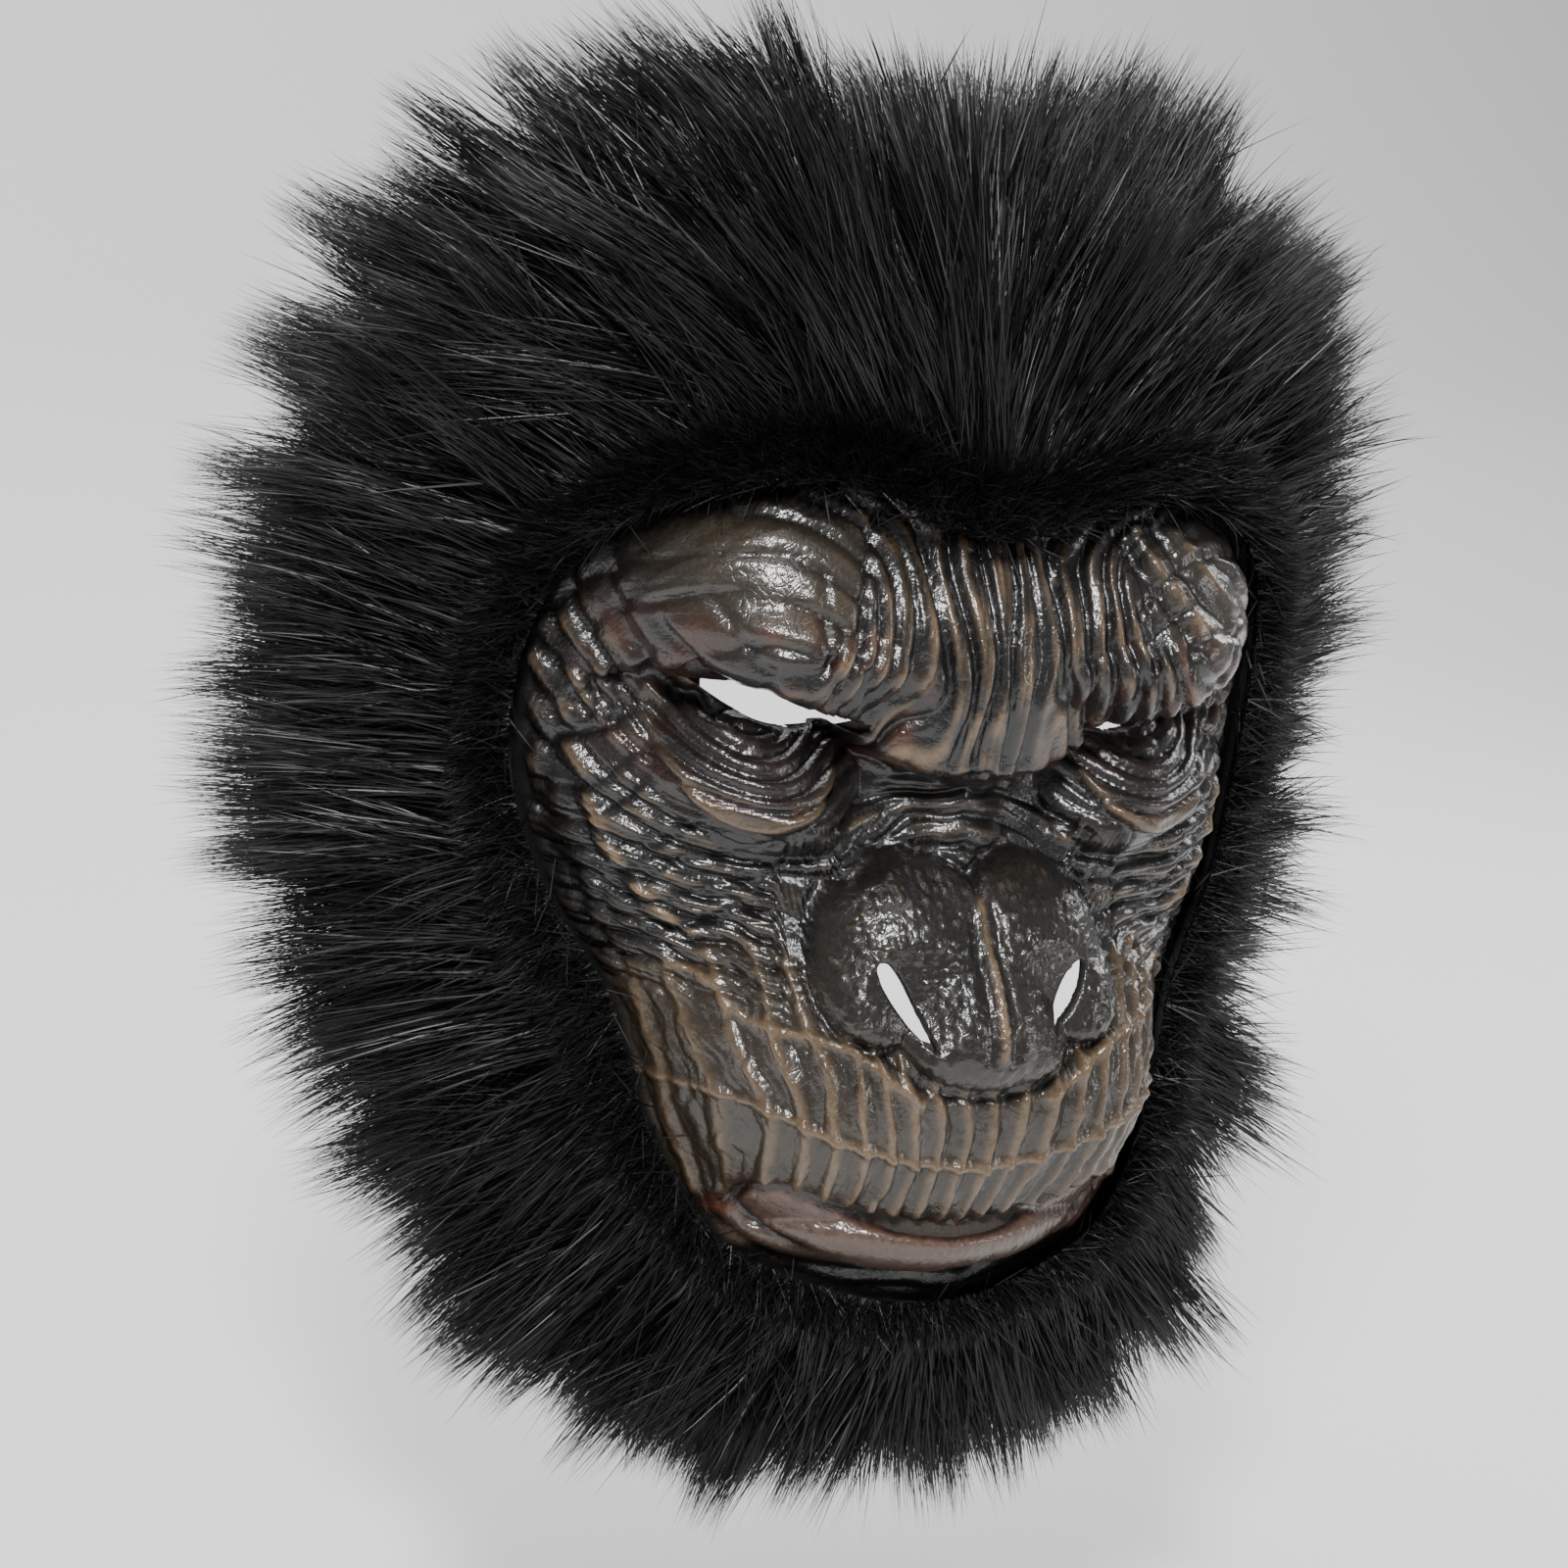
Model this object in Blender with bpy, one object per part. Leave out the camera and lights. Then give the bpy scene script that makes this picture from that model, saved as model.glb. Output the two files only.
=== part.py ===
"""Gorilla mask: a moulded latex face, sewn into a ruff of long-pile fur cloth, with an elastic head strap.

Run it with: blender --background --python part.py
Metres, +Z up. The face looks along -Y and +X is its left. The origin is the forehead seat: the inner side
of the latex at the top middle of its edge, where the mask rests on the wearer's forehead.
"""

import math

import bmesh
import bpy
import numpy as np

MM = 0.001

# Latex face: sizes from the root of the nose, which is the zero of the face's own tables.
FACE_HALF_WIDTH = 92 * MM
FACE_TOP = 104 * MM
FACE_BOTTOM = 88 * MM
EDGE_SETBACK = 37 * MM
RELIEF = 10.5 * MM
FACE_CENTRE_HEIGHT = 8.5 * MM
LATEX_WALL = 2.2 * MM
FLANGE_WIDTH = 8 * MM

# Openings cut through the latex.
EYE_SLIT_LENGTH = 37 * MM
EYE_SLIT_HEIGHT = 9 * MM
NOSTRIL_LENGTH = 21 * MM
NOSTRIL_WIDTH = 5 * MM
CUTTER_DEPTH = 60 * MM

# Fur ruff: a knitted backing, and the pile with its dense root layer and its locks.
BAND_WIDTH = 70 * MM
BACKING_WALL = 1.6 * MM
ROOT_LAYER = 2.4 * MM
PILE_LENGTH = 64 * MM
FIT_GAP = 0.8 * MM
SEAM_GAP = 0.6 * MM
LEAST_LIFT = 0.27

# Elastic strap round the back of the head.
STRAP_WIDTH = 25 * MM
STRAP_WALL = 1.6 * MM
HEAD_LENGTH = 188 * MM
STRAP_RISE = 10 * MM

# How finely each surface is divided.
FACE_CELLS = 30
FLANGE_RINGS = 1
BAND_COLUMNS = 34
BAND_ROWS = 4
STRAP_COLUMNS = 3
STRAP_STEPS = 13
CUTTER_STEPS = 12
SMALL_STEP = 1e-3

# The seam from the top middle (first row) round one side to the chin (last row).
# across: share of FACE_HALF_WIDTH; height: share of FACE_TOP above the nose root, of FACE_BOTTOM below it;
# back: share of EDGE_SETBACK; band_out, band_back, band_rise: from the seam to the ruff's rear edge, as shares
# of BAND_WIDTH; bulge: how far the ruff swells between them, as a share of BAND_WIDTH;
# comb_out, comb_back, comb_rise: the way the pile lies; pile: its length as a share of PILE_LENGTH.
SEAM_COLUMNS = (
    "across", "height", "back", "band_out", "band_back", "band_rise", "bulge",
    "comb_out", "comb_back", "comb_rise", "pile",
)
SEAM = (
    (0.00, 0.91, -0.11, 0.00, 0.72, 0.92, 0.13, 0.26, 0.60, 0.74, 0.92),
    (0.43, 1.00, 0.06, 0.06, 0.70, 0.78, 0.12, 0.54, 0.56, 0.62, 0.93),
    (0.80, 0.87, 0.51, 0.09, 0.69, 0.57, 0.08, 0.70, 0.52, 0.48, 0.96),
    (0.97, 0.63, 0.89, 0.07, 0.75, 0.37, 0.06, 0.79, 0.52, 0.32, 0.98),
    (1.00, 0.30, 1.00, 0.06, 0.80, 0.16, 0.05, 0.84, 0.52, 0.14, 1.00),
    (0.92, 0.02, 0.77, 0.07, 0.78, -0.08, 0.06, 0.85, 0.52, -0.08, 1.00),
    (0.77, -0.26, 0.43, 0.10, 0.70, -0.24, 0.07, 0.82, 0.46, -0.34, 0.97),
    (0.67, -0.60, 0.09, 0.10, 0.54, -0.28, 0.08, 0.72, 0.34, -0.62, 0.86),
    (0.47, -0.88, -0.26, 0.07, 0.40, -0.24, 0.10, 0.54, 0.20, -0.84, 0.74),
    (0.00, -1.00, -0.49, 0.00, 0.34, -0.20, 0.10, 0.28, 0.06, -0.96, 0.68),
)
ODD_COLUMNS = ("across", "band_out", "comb_out")

# The face's middle line, from the top edge to the chin, before any relief is added.
# height: as in SEAM; forward: share of EDGE_SETBACK in front of the nose root's plane.
PROFILE_COLUMNS = ("height", "forward")
PROFILE = (
    (0.91, 0.11),
    (0.70, 0.34),
    (0.45, 0.40),
    (0.20, 0.36),
    (0.00, 0.45),
    (-0.30, 0.74),
    (-0.60, 0.88),
    (-0.85, 0.80),
    (-1.00, 0.49),
)

# The lower edge of the brow, and how deep the eye sockets lie under it.
# across: share of FACE_HALF_WIDTH; height: share of FACE_TOP; depth: share of RELIEF.
BROW_COLUMNS = ("across", "height", "depth")
BROW_EDGE = (
    (0.00, 0.360, 0.75),
    (0.15, 0.370, 1.00),
    (0.28, 0.425, 1.40),
    (0.42, 0.510, 1.70),
    (0.56, 0.565, 1.60),
    (0.70, 0.585, 1.15),
    (0.83, 0.510, 0.50),
    (1.00, 0.360, 0.00),
)

# Swellings and hollows of the face, mirrored left and right.
# across, half_width: shares of FACE_HALF_WIDTH; height, half_height: shares of FACE_TOP; turn: degrees that the
# long side leans outwards; forward: share of RELIEF, below zero for a hollow; power: 0.5 for a crisp edge,
# 1.5 for a soft one.
DOME_COLUMNS = ("across", "height", "half_width", "half_height", "turn", "forward", "power")
DOMES = {
    "brow": (0.56, 0.72, 0.43, 0.28, -14, 1.65, 1.1),
    "brow_rim": (0.52, 0.60, 0.34, 0.10, -8, 0.55, 1.0),
    "brow_middle": (0.00, 0.60, 0.30, 0.30, 0, 0.95, 1.3),
    "eye_bag": (0.50, 0.320, 0.26, 0.170, -6, 1.10, 0.8),
    "cheekbone": (0.80, 0.22, 0.22, 0.28, 15, 0.40, 1.4),
    "nose_bridge": (0.00, 0.24, 0.13, 0.20, 0, 0.45, 1.3),
    "muzzle": (0.00, -0.36, 0.70, 0.44, 0, 0.95, 1.0),
    "muzzle_side": (0.40, -0.36, 0.34, 0.28, -20, 0.60, 1.1),
    "lower_lip": (0.00, -0.82, 0.50, 0.085, 0, 0.75, 0.8),
}
NOSE = {
    "lobe": (0.165, 0.000, 0.235, 0.165, 22, 1.10, 0.55),
    "wing": (0.270, -0.090, 0.135, 0.120, 8, 1.00, 0.55),
    "tip": (0.000, -0.130, 0.26, 0.170, 0, 1.22, 0.55),
}
NOSTRIL_HOLLOW = {"hollow": (0.215, -0.125, 0.110, 0.150, -35, -0.40, 1.0)}

# Folds: creases (below zero) and ridges, each along a curve through three places, mirrored left and right.
# across, height: as above, at the start, the middle and the end; half_width: share of FACE_HALF_WIDTH;
# forward: share of RELIEF.
FOLD_COLUMNS = (
    "across_1", "height_1", "across_2", "height_2", "across_3", "height_3", "half_width", "forward",
)
FOLDS = {
    "mouth_line": (0.00, -0.730, 0.25, -0.715, 0.47, -0.630, 0.032, -0.60),
    "mouth_corner": (0.47, -0.630, 0.53, -0.670, 0.53, -0.760, 0.040, -0.25),
    "under_lip": (0.00, -0.910, 0.27, -0.885, 0.50, -0.750, 0.035, -0.22),
    "bag_rim": (0.27, 0.360, 0.50, 0.110, 0.76, 0.420, 0.045, -0.38),
    "muzzle_top": (0.38, -0.010, 0.55, -0.080, 0.76, -0.190, 0.040, -0.35),
    "cheek_fold": (0.16, 0.200, 0.42, 0.060, 0.80, -0.060, 0.050, -0.25),
    "nose_groove": (0.00, 0.080, 0.00, -0.050, 0.00, -0.230, 0.022, -0.20),
    "brow_fold_1": (0.07, 0.860, 0.10, 0.640, 0.07, 0.420, 0.030, -0.30),
    "brow_fold_2": (0.19, 0.900, 0.24, 0.660, 0.19, 0.440, 0.030, -0.28),
    "brow_fold_3": (0.33, 0.900, 0.42, 0.700, 0.30, 0.470, 0.035, -0.25),
    "brow_arc": (0.32, 0.920, 0.62, 0.930, 0.88, 0.640, 0.035, -0.22),
}


def column(table, columns, name):
    """One named column of a table as an array."""
    return np.array([row[columns.index(name)] for row in table], float)


def height_of(share):
    """A height share in metres: of FACE_TOP above the nose root, of FACE_BOTTOM below it."""
    share = np.asarray(share, float)
    return np.where(share > 0, share * FACE_TOP, share * FACE_BOTTOM)


def along(values, t, odd=False):
    """A smooth curve through evenly spaced values at t from 0 to 1, mirrored past both ends (Catmull-Rom)."""
    t = np.asarray(t, float)
    sign = np.where(t < 0, -1.0, 1.0) * np.where(t > 1, -1.0, 1.0) if odd else 1.0
    t = np.abs(t)
    t = np.where(t > 1, 2 - t, t)
    flip = -1.0 if odd else 1.0
    padded = np.concatenate([[flip * values[1]], values, [flip * values[-2]]])
    place = t * (len(values) - 1)
    index = np.clip(np.floor(place).astype(int), 0, len(values) - 2)
    f = place - index
    a, b, c, d = (padded[index + k] for k in range(4))
    curve = b + 0.5 * f * (c - a + f * (2 * a - 5 * b + 4 * c - d + f * (3 * (b - c) + d - a)))
    return sign * curve


def seam_value(name, t):
    return along(column(SEAM, SEAM_COLUMNS, name), t, name in ODD_COLUMNS)


def seam_heights():
    return height_of(column(SEAM, SEAM_COLUMNS, "height"))


def seam_point(t):
    """The seam between latex and fur at t, from 0 at the top middle to 1 at the chin, on the +X side."""
    return np.stack(
        [
            seam_value("across", t) * FACE_HALF_WIDTH,
            seam_value("back", t) * EDGE_SETBACK,
            along(seam_heights(), t),
        ],
        axis=-1,
    )


def unit(vectors):
    return vectors / np.maximum(np.linalg.norm(vectors, axis=-1, keepdims=True), 1e-12)


def band_point(t, s):
    """The ruff's innermost surface: t runs round the face and s from the seam (0) to the rear edge (1)."""
    start = seam_point(t)
    reach = BAND_WIDTH * np.stack([seam_value(n, t) for n in ("band_out", "band_back", "band_rise")], axis=-1)
    edge = seam_point(t + SMALL_STEP) - seam_point(t - SMALL_STEP)
    swell = unit(np.cross(edge, reach)) * BAND_WIDTH * seam_value("bulge", t)[..., None]
    s = np.asarray(s, float)[..., None]
    return start + reach * s + swell * np.sin(math.pi * s)


def band_normal(t, s):
    """The outward normal of the ruff's surface."""
    around = band_point(t + SMALL_STEP, s) - band_point(t - SMALL_STEP, s)
    back = band_point(t, s + SMALL_STEP) - band_point(t, s - SMALL_STEP)
    return unit(np.cross(around, back))


def comb(t, s):
    """The unit way that the pile lies at a root: the table's way, lifted clear of the cloth."""
    way = unit(np.stack([seam_value(n, t) for n in ("comb_out", "comb_back", "comb_rise")], axis=-1))
    normal = band_normal(t, s)
    lift = (way * normal).sum(-1, keepdims=True)
    return unit(way + normal * np.maximum(0.0, LEAST_LIFT - lift))


def seat():
    """The forehead seat, which becomes the origin."""
    top = seam_point(np.array(0.0))
    return top + np.array([0.0, LATEX_WALL, 0.0])


def dome(x, z, row):
    """How far one swelling rises at face places x, z: (1 - distance^2)^power inside its turned ellipse."""
    across, height, half_width, half_height, turn, forward, power = row
    angle = math.radians(turn)
    dx = (x - across * FACE_HALF_WIDTH) / (half_width * FACE_HALF_WIDTH)
    dz = (z - height_of(height)) / (half_height * FACE_TOP)
    if turn:
        ratio = half_width * FACE_HALF_WIDTH / (half_height * FACE_TOP)
        dx, dz = (
            dx * math.cos(angle) - dz / ratio * math.sin(angle),
            dx * ratio * math.sin(angle) + dz * math.cos(angle),
        )
    inside = np.clip(1 - dx * dx - dz * dz, 0, None)
    return forward * RELIEF * inside**power


def fold(x, z, row):
    """How far one fold moves the surface: a Gaussian of the distance to its curve, fading at the ends."""
    x1, z1, x2, z2, x3, z3, half_width, forward = row
    u = np.linspace(0, 1, 13)
    cx, cz = 2 * x2 - (x1 + x3) / 2, 2 * z2 - (z1 + z3) / 2
    px = ((1 - u) ** 2 * x1 + 2 * u * (1 - u) * cx + u * u * x3) * FACE_HALF_WIDTH
    pz = height_of((1 - u) ** 2 * z1 + 2 * u * (1 - u) * cz + u * u * z3)
    nearest = np.full(x.shape, np.inf)
    for k in range(len(u) - 1):
        ax, az, bx, bz = px[k], pz[k], px[k + 1], pz[k + 1]
        length = max((bx - ax) ** 2 + (bz - az) ** 2, 1e-12)
        f = np.clip(((x - ax) * (bx - ax) + (z - az) * (bz - az)) / length, 0, 1)
        nearest = np.minimum(nearest, (x - ax - f * (bx - ax)) ** 2 + (z - az - f * (bz - az)) ** 2)
    return forward * RELIEF * np.exp(-nearest / (half_width * FACE_HALF_WIDTH) ** 2)


def ease(f):
    """Smooth step from 0 to 1."""
    f = np.clip(f, 0, 1)
    return f * f * (3 - 2 * f)


def socket(x, z):
    """The eye sockets and the hollow under the brow: how deep they are, and how far the brow hangs over."""
    shares = column(BROW_EDGE, BROW_COLUMNS, "across") * FACE_HALF_WIDTH
    edge = np.interp(x, shares, column(BROW_EDGE, BROW_COLUMNS, "height") * FACE_TOP)
    depth = np.interp(x, shares, column(BROW_EDGE, BROW_COLUMNS, "depth") * RELIEF)
    below = edge - z
    sharp, fade_from, fade_over = 0.7 * RELIEF, 0.6 * RELIEF, 2.6 * RELIEF
    hollow = depth * ease(below / sharp + 0.5) * (1 - ease((below - fade_from) / fade_over))
    overhang = 0.22 * depth * np.exp(-((below / (0.6 * RELIEF)) ** 2))
    return hollow, overhang


def relief(x, z):
    """Everything that stands forward of the face's plain surface, at |x| and z."""
    hollow, overhang = socket(x, z)
    rise = sum(dome(x, z, row) for row in DOMES.values()) - hollow
    nose = np.max([dome(x, z, row) for row in NOSE.values()], axis=0)
    nose = nose + sum(dome(x, z, row) for row in NOSTRIL_HOLLOW.values())
    folds = sum(fold(x, z, row) for row in FOLDS.values())
    return rise + nose + folds, overhang


def face_point(p, q):
    """The latex's outer surface at disc coordinates p, q: the plain shell with its relief, out to the seam."""
    radius = np.hypot(p, q)
    t = np.arctan2(np.abs(p), q) / math.pi
    rim = seam_point(t)
    x = radius * rim[..., 0]
    z = FACE_CENTRE_HEIGHT + radius * (rim[..., 2] - FACE_CENTRE_HEIGHT)
    heights = height_of(column(PROFILE, PROFILE_COLUMNS, "height"))[::-1]
    fronts = -EDGE_SETBACK * column(PROFILE, PROFILE_COLUMNS, "forward")[::-1]
    spread = np.linspace(0, 1, 200)
    front = np.interp(z, along(heights, spread), along(fronts, spread))
    roundness = 0.93
    turned = (1 - np.sqrt(1 - (roundness * radius) ** 2)) / (1 - math.sqrt(1 - roundness**2))
    y = front * (1 - turned) + rim[..., 1] * turned
    rise, overhang = relief(x, z)
    fade = ease((1 - radius) / 0.10)
    return np.stack([np.sign(p) * x, y - rise * fade, z - overhang * fade], axis=-1)


def disc_grid(cells):
    """Disc coordinates of a square grid, closer together in the middle, and its quads."""
    u = np.linspace(-1, 1, cells + 1)
    u = 0.8 * u + 0.2 * u**3
    a, b = np.meshgrid(u, u, indexing="ij")
    p, q = a * np.sqrt(1 - b * b / 2), b * np.sqrt(1 - a * a / 2)
    index = np.arange((cells + 1) ** 2).reshape(cells + 1, cells + 1)
    quads = np.stack([index[:-1, :-1], index[1:, :-1], index[1:, 1:], index[:-1, 1:]], axis=-1).reshape(-1, 4)
    ring = np.concatenate([index[:-1, 0], index[-1, :-1], index[:0:-1, -1], index[0, :0:-1]])
    return p.ravel(), q.ravel(), quads, ring


def face_sheet(cells, flange_rings):
    """The latex's outer surface with its flange under the ruff: points and quads."""
    p, q, quads, ring = disc_grid(cells)
    points = [face_point(p, q)]
    t = np.arctan2(np.abs(p[ring]), q[ring]) / math.pi
    side = np.where(np.abs(p[ring]) < 1e-9, 0.0, np.sign(p[ring]))
    width = np.linalg.norm(band_point(t, np.ones_like(t)) - band_point(t, np.zeros_like(t)), axis=-1)
    inner, count = ring, len(p)
    for k in range(1, flange_rings + 1):
        loop = band_point(t, k / flange_rings * FLANGE_WIDTH / width)
        loop[:, 0] *= side
        points.append(loop)
        outer = np.arange(count, count + len(ring))
        quads = np.concatenate([quads, np.stack([inner, outer, np.roll(outer, -1), np.roll(inner, -1)], axis=-1)])
        inner, count = outer, count + len(ring)
    return np.concatenate(points), quads


def vertex_normals(points, quads):
    """Area-weighted normals of a sheet of quads."""
    corners = points[quads]
    face = np.cross(corners[:, 2] - corners[:, 0], corners[:, 3] - corners[:, 1])
    normals = np.zeros_like(points)
    for k in range(4):
        np.add.at(normals, quads[:, k], face)
    return unit(normals)


def soft_normals(points, quads, rounds=6):
    """Normals averaged with their neighbours', so that the inside of the wall is smoother than the outside."""
    normals = vertex_normals(points, quads)
    for _ in range(rounds):
        total = np.zeros_like(normals)
        middle = normals[quads].sum(1)
        for k in range(4):
            np.add.at(total, quads[:, k], middle)
        normals = unit(total)
    return normals


def closed_shell(outer, inner, quads):
    """A solid between two sheets that share their quads: both faces and a wall along each open edge."""
    count = len(outer)
    edges = np.concatenate([quads[:, [k, (k + 1) % 4]] for k in range(4)])
    keys = {tuple(e) for e in edges.tolist()}
    open_edges = np.array([e for e in edges.tolist() if (e[1], e[0]) not in keys])
    walls = np.stack(
        [open_edges[:, 1], open_edges[:, 0], open_edges[:, 0] + count, open_edges[:, 1] + count], axis=-1
    )
    return np.concatenate([outer, inner]), np.concatenate([quads, quads[:, ::-1] + count, walls])


def triangles(points, quads):
    """Each quad as two triangles, split along its shorter diagonal."""
    a, b, c, d = (points[quads[:, k]] for k in range(4))
    short = np.linalg.norm(c - a, axis=1) <= np.linalg.norm(d - b, axis=1) + 1e-9
    first = np.where(short[:, None], quads[:, [0, 1, 2]], quads[:, [0, 1, 3]])
    second = np.where(short[:, None], quads[:, [0, 2, 3]], quads[:, [1, 2, 3]])
    return np.concatenate([first, second])


def material(name, colour, roughness):
    made = bpy.data.materials.new(name)
    made.use_nodes = True
    shader = made.node_tree.nodes["Principled BSDF"]
    shader.inputs["Base Color"].default_value = (*colour, 1)
    shader.inputs["Roughness"].default_value = roughness
    shader.inputs["Metallic"].default_value = 0
    return made


def add_object(name, points, faces, finish):
    """A new object from points in the face's own frame, moved so that the forehead seat is the origin."""
    mesh = bpy.data.meshes.new(name)
    mesh.from_pydata((points - seat()).tolist(), [], [list(map(int, f)) for f in faces])
    mesh.validate()
    mesh.materials.append(finish)
    made = bpy.data.objects.new(name, mesh)
    bpy.context.scene.collection.objects.link(made)
    mesh.shade_smooth()
    mesh.set_sharp_from_angle(angle=math.radians(50))
    return made


def eye_slit_centre():
    """Middle of an eye slit: just under the brow's edge."""
    across = 0.475 * FACE_HALF_WIDTH
    shares = column(BROW_EDGE, BROW_COLUMNS, "across") * FACE_HALF_WIDTH
    edge = np.interp(across, shares, column(BROW_EDGE, BROW_COLUMNS, "height") * FACE_TOP)
    return across, edge - 0.68 * EYE_SLIT_HEIGHT


def lens_outline(length, height, droop):
    """An eye slit's outline: a flat upper lid and a fuller lower one, from the outer corner round."""
    u = np.linspace(0, 1, CUTTER_STEPS)
    upper = 0.34 * height * np.sin(math.pi * u)
    lower = -0.66 * height * np.sin(math.pi * u)
    x = np.concatenate([u, u[-2:0:-1]]) - 0.5
    z = np.concatenate([upper, lower[-2:0:-1]])
    return np.stack([x * length, z + droop * x * length], axis=-1)


def slot_outline(length, width, turn):
    """A nostril's outline: a slot, wide at the top and pointed at the foot, leaning in by turn degrees."""
    u = np.linspace(0, 1, CUTTER_STEPS)
    half = 0.5 * width * np.sin(math.pi * u**0.62) ** 0.8
    z = 0.5 * length - u * length
    x = np.concatenate([half, -half[-2:0:-1]])
    z = np.concatenate([z, z[-2:0:-1]])
    angle = math.radians(turn)
    return np.stack([x * math.cos(angle) + z * math.sin(angle), z * math.cos(angle) - x * math.sin(angle)], axis=-1)


def cut_through(target, outline, centre, side):
    """Cuts an outline straight through the latex along Y, at a place on the face's side."""
    x = side * (centre[0] + outline[:, 0])
    z = centre[1] + outline[:, 1]
    front = np.stack([x, np.full_like(x, -CUTTER_DEPTH - EDGE_SETBACK), z], axis=-1)
    back = front + np.array([0, 2 * CUTTER_DEPTH + EDGE_SETBACK, 0])
    n = len(x)
    sides = [[k, (k + 1) % n, n + (k + 1) % n, n + k] for k in range(n)]
    faces = sides + [list(range(n))[::-1], list(range(n, 2 * n))]
    cutter = add_object(target.name + "_cutter", np.concatenate([front, back]), faces, target.data.materials[0])
    recalculate(cutter)
    cutter.hide_render = True
    cutter.display_type = "WIRE"
    cut = target.modifiers.new("opening", "BOOLEAN")
    cut.operation = "DIFFERENCE"
    cut.solver = "EXACT"
    cut.object = cutter


def recalculate(obj):
    """Turns a closed mesh's faces outwards."""
    work = bmesh.new()
    work.from_mesh(obj.data)
    bmesh.ops.recalc_face_normals(work, faces=work.faces)
    work.to_mesh(obj.data)
    work.free()


def make_face(finish):
    """The moulded latex face, with its eye slits and nostrils cut through."""
    points, quads = face_sheet(FACE_CELLS, FLANGE_RINGS)
    p, q, _, _ = disc_grid(FACE_CELLS)
    rim_share = np.ones(len(points))
    rim_share[: len(p)] = ease((np.hypot(p, q) - 0.55) / 0.4)
    forward = np.array([0.0, -1.0, 0.0]) * (1 - rim_share)[:, None]
    wall_way = unit(soft_normals(points, quads) * (0.15 + rim_share)[:, None] + forward)
    points, faces = closed_shell(points, points - wall_way * LATEX_WALL, quads)
    made = add_object("face", points, triangles(points, faces), finish)
    hollow = NOSTRIL_HOLLOW["hollow"]
    nostril = (hollow[0] * FACE_HALF_WIDTH, float(height_of(hollow[1])))
    for side in (-1, 1):
        cut_through(made, lens_outline(EYE_SLIT_LENGTH, EYE_SLIT_HEIGHT, 0.16), eye_slit_centre(), side)
        cut_through(made, slot_outline(NOSTRIL_LENGTH, NOSTRIL_WIDTH, 32), nostril, side)
    return made


def band_grid():
    """Places t, s of the ruff's grid and its quads, facing outwards on the +X side."""
    t, s = np.meshgrid(np.linspace(0, 1, BAND_COLUMNS + 1), np.linspace(0, 1, BAND_ROWS + 1), indexing="ij")
    index = np.arange(t.size).reshape(t.shape)
    quads = np.stack([index[:-1, :-1], index[1:, :-1], index[1:, 1:], index[:-1, 1:]], axis=-1)
    return t.ravel(), s.ravel(), quads.reshape(-1, 4)


def band_layer(t, s, offset):
    """Points of the ruff's surface raised by offset, kept on their side of the middle seams."""
    points = band_point(t, s) + band_normal(t, s) * offset
    points[:, 0] = np.maximum(points[:, 0], SEAM_GAP / 2)
    return points


def on_side(points, faces, side):
    """The +X shape on either side: the other side is its mirror image, with its faces turned round."""
    if side > 0:
        return points, faces
    return points * [-1, 1, 1], [list(f)[::-1] for f in faces]


def make_backing(name, side, finish):
    """One half of the ruff's knitted backing."""
    t, s, quads = band_grid()
    outer = band_layer(t, s, FIT_GAP + BACKING_WALL)
    inner = band_layer(t, s, FIT_GAP)
    points, faces = closed_shell(outer, inner, quads)
    return add_object(name, *on_side(points, faces, side), finish)


# A lock's outline: share of its length, and its width there as a share of its root.
LOCK_SECTIONS = ((0.35, 0.92), (0.72, 0.62), (1.00, 0.12))
LOCK_SPREAD = 0.07
LOCK_SEED = 3


def make_fur(name, side, finish):
    """One half of the pile: a dense root layer with a lock raised on every other cell of its grid."""
    t, s, quads = band_grid()
    base = FIT_GAP + BACKING_WALL + FIT_GAP
    outer = band_layer(t, s, base + ROOT_LAYER)
    inner = band_layer(t, s, base)
    points, faces = closed_shell(outer, inner, quads)
    points, faces = list(points), [list(f) for f in faces]
    chance = np.random.default_rng(LOCK_SEED)
    kept = []
    for number, quad in enumerate(faces[: len(quads)]):
        column_number, row_number = divmod(number, BAND_ROWS)
        length_share, turn_share = chance.uniform(0.82, 1.0), chance.uniform(-1, 1)
        if (column_number + row_number) % 2:
            kept.append(quad)
            continue
        corners = np.array([points[v] for v in quad])
        middle = corners.mean(0)
        ct, cs = float(t[quad].mean()), float(s[quad].mean())
        way = comb(np.array(ct), np.array(cs))
        normal = band_normal(np.array(ct), np.array(cs))
        sideways = unit(np.cross(normal, way)) * LOCK_SPREAD * turn_share
        length = PILE_LENGTH * float(seam_value("pile", ct)) * length_share * (0.72 + 0.28 * min(1, cs / 0.4))
        ring = quad
        for share, width in LOCK_SECTIONS:
            bend = unit(way + normal * 0.35 * (1 - share) + sideways * share)
            place = middle + bend * length * share
            start = len(points)
            points.extend(place + (corners - middle) * width)
            new = [start + k for k in range(4)]
            kept.extend([ring[k], ring[(k + 1) % 4], new[(k + 1) % 4], new[k]] for k in range(4))
            ring = new
        kept.append(ring)
    faces = kept + faces[len(quads):]
    return add_object(name, *on_side(np.array(points), faces, side), finish)


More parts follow.
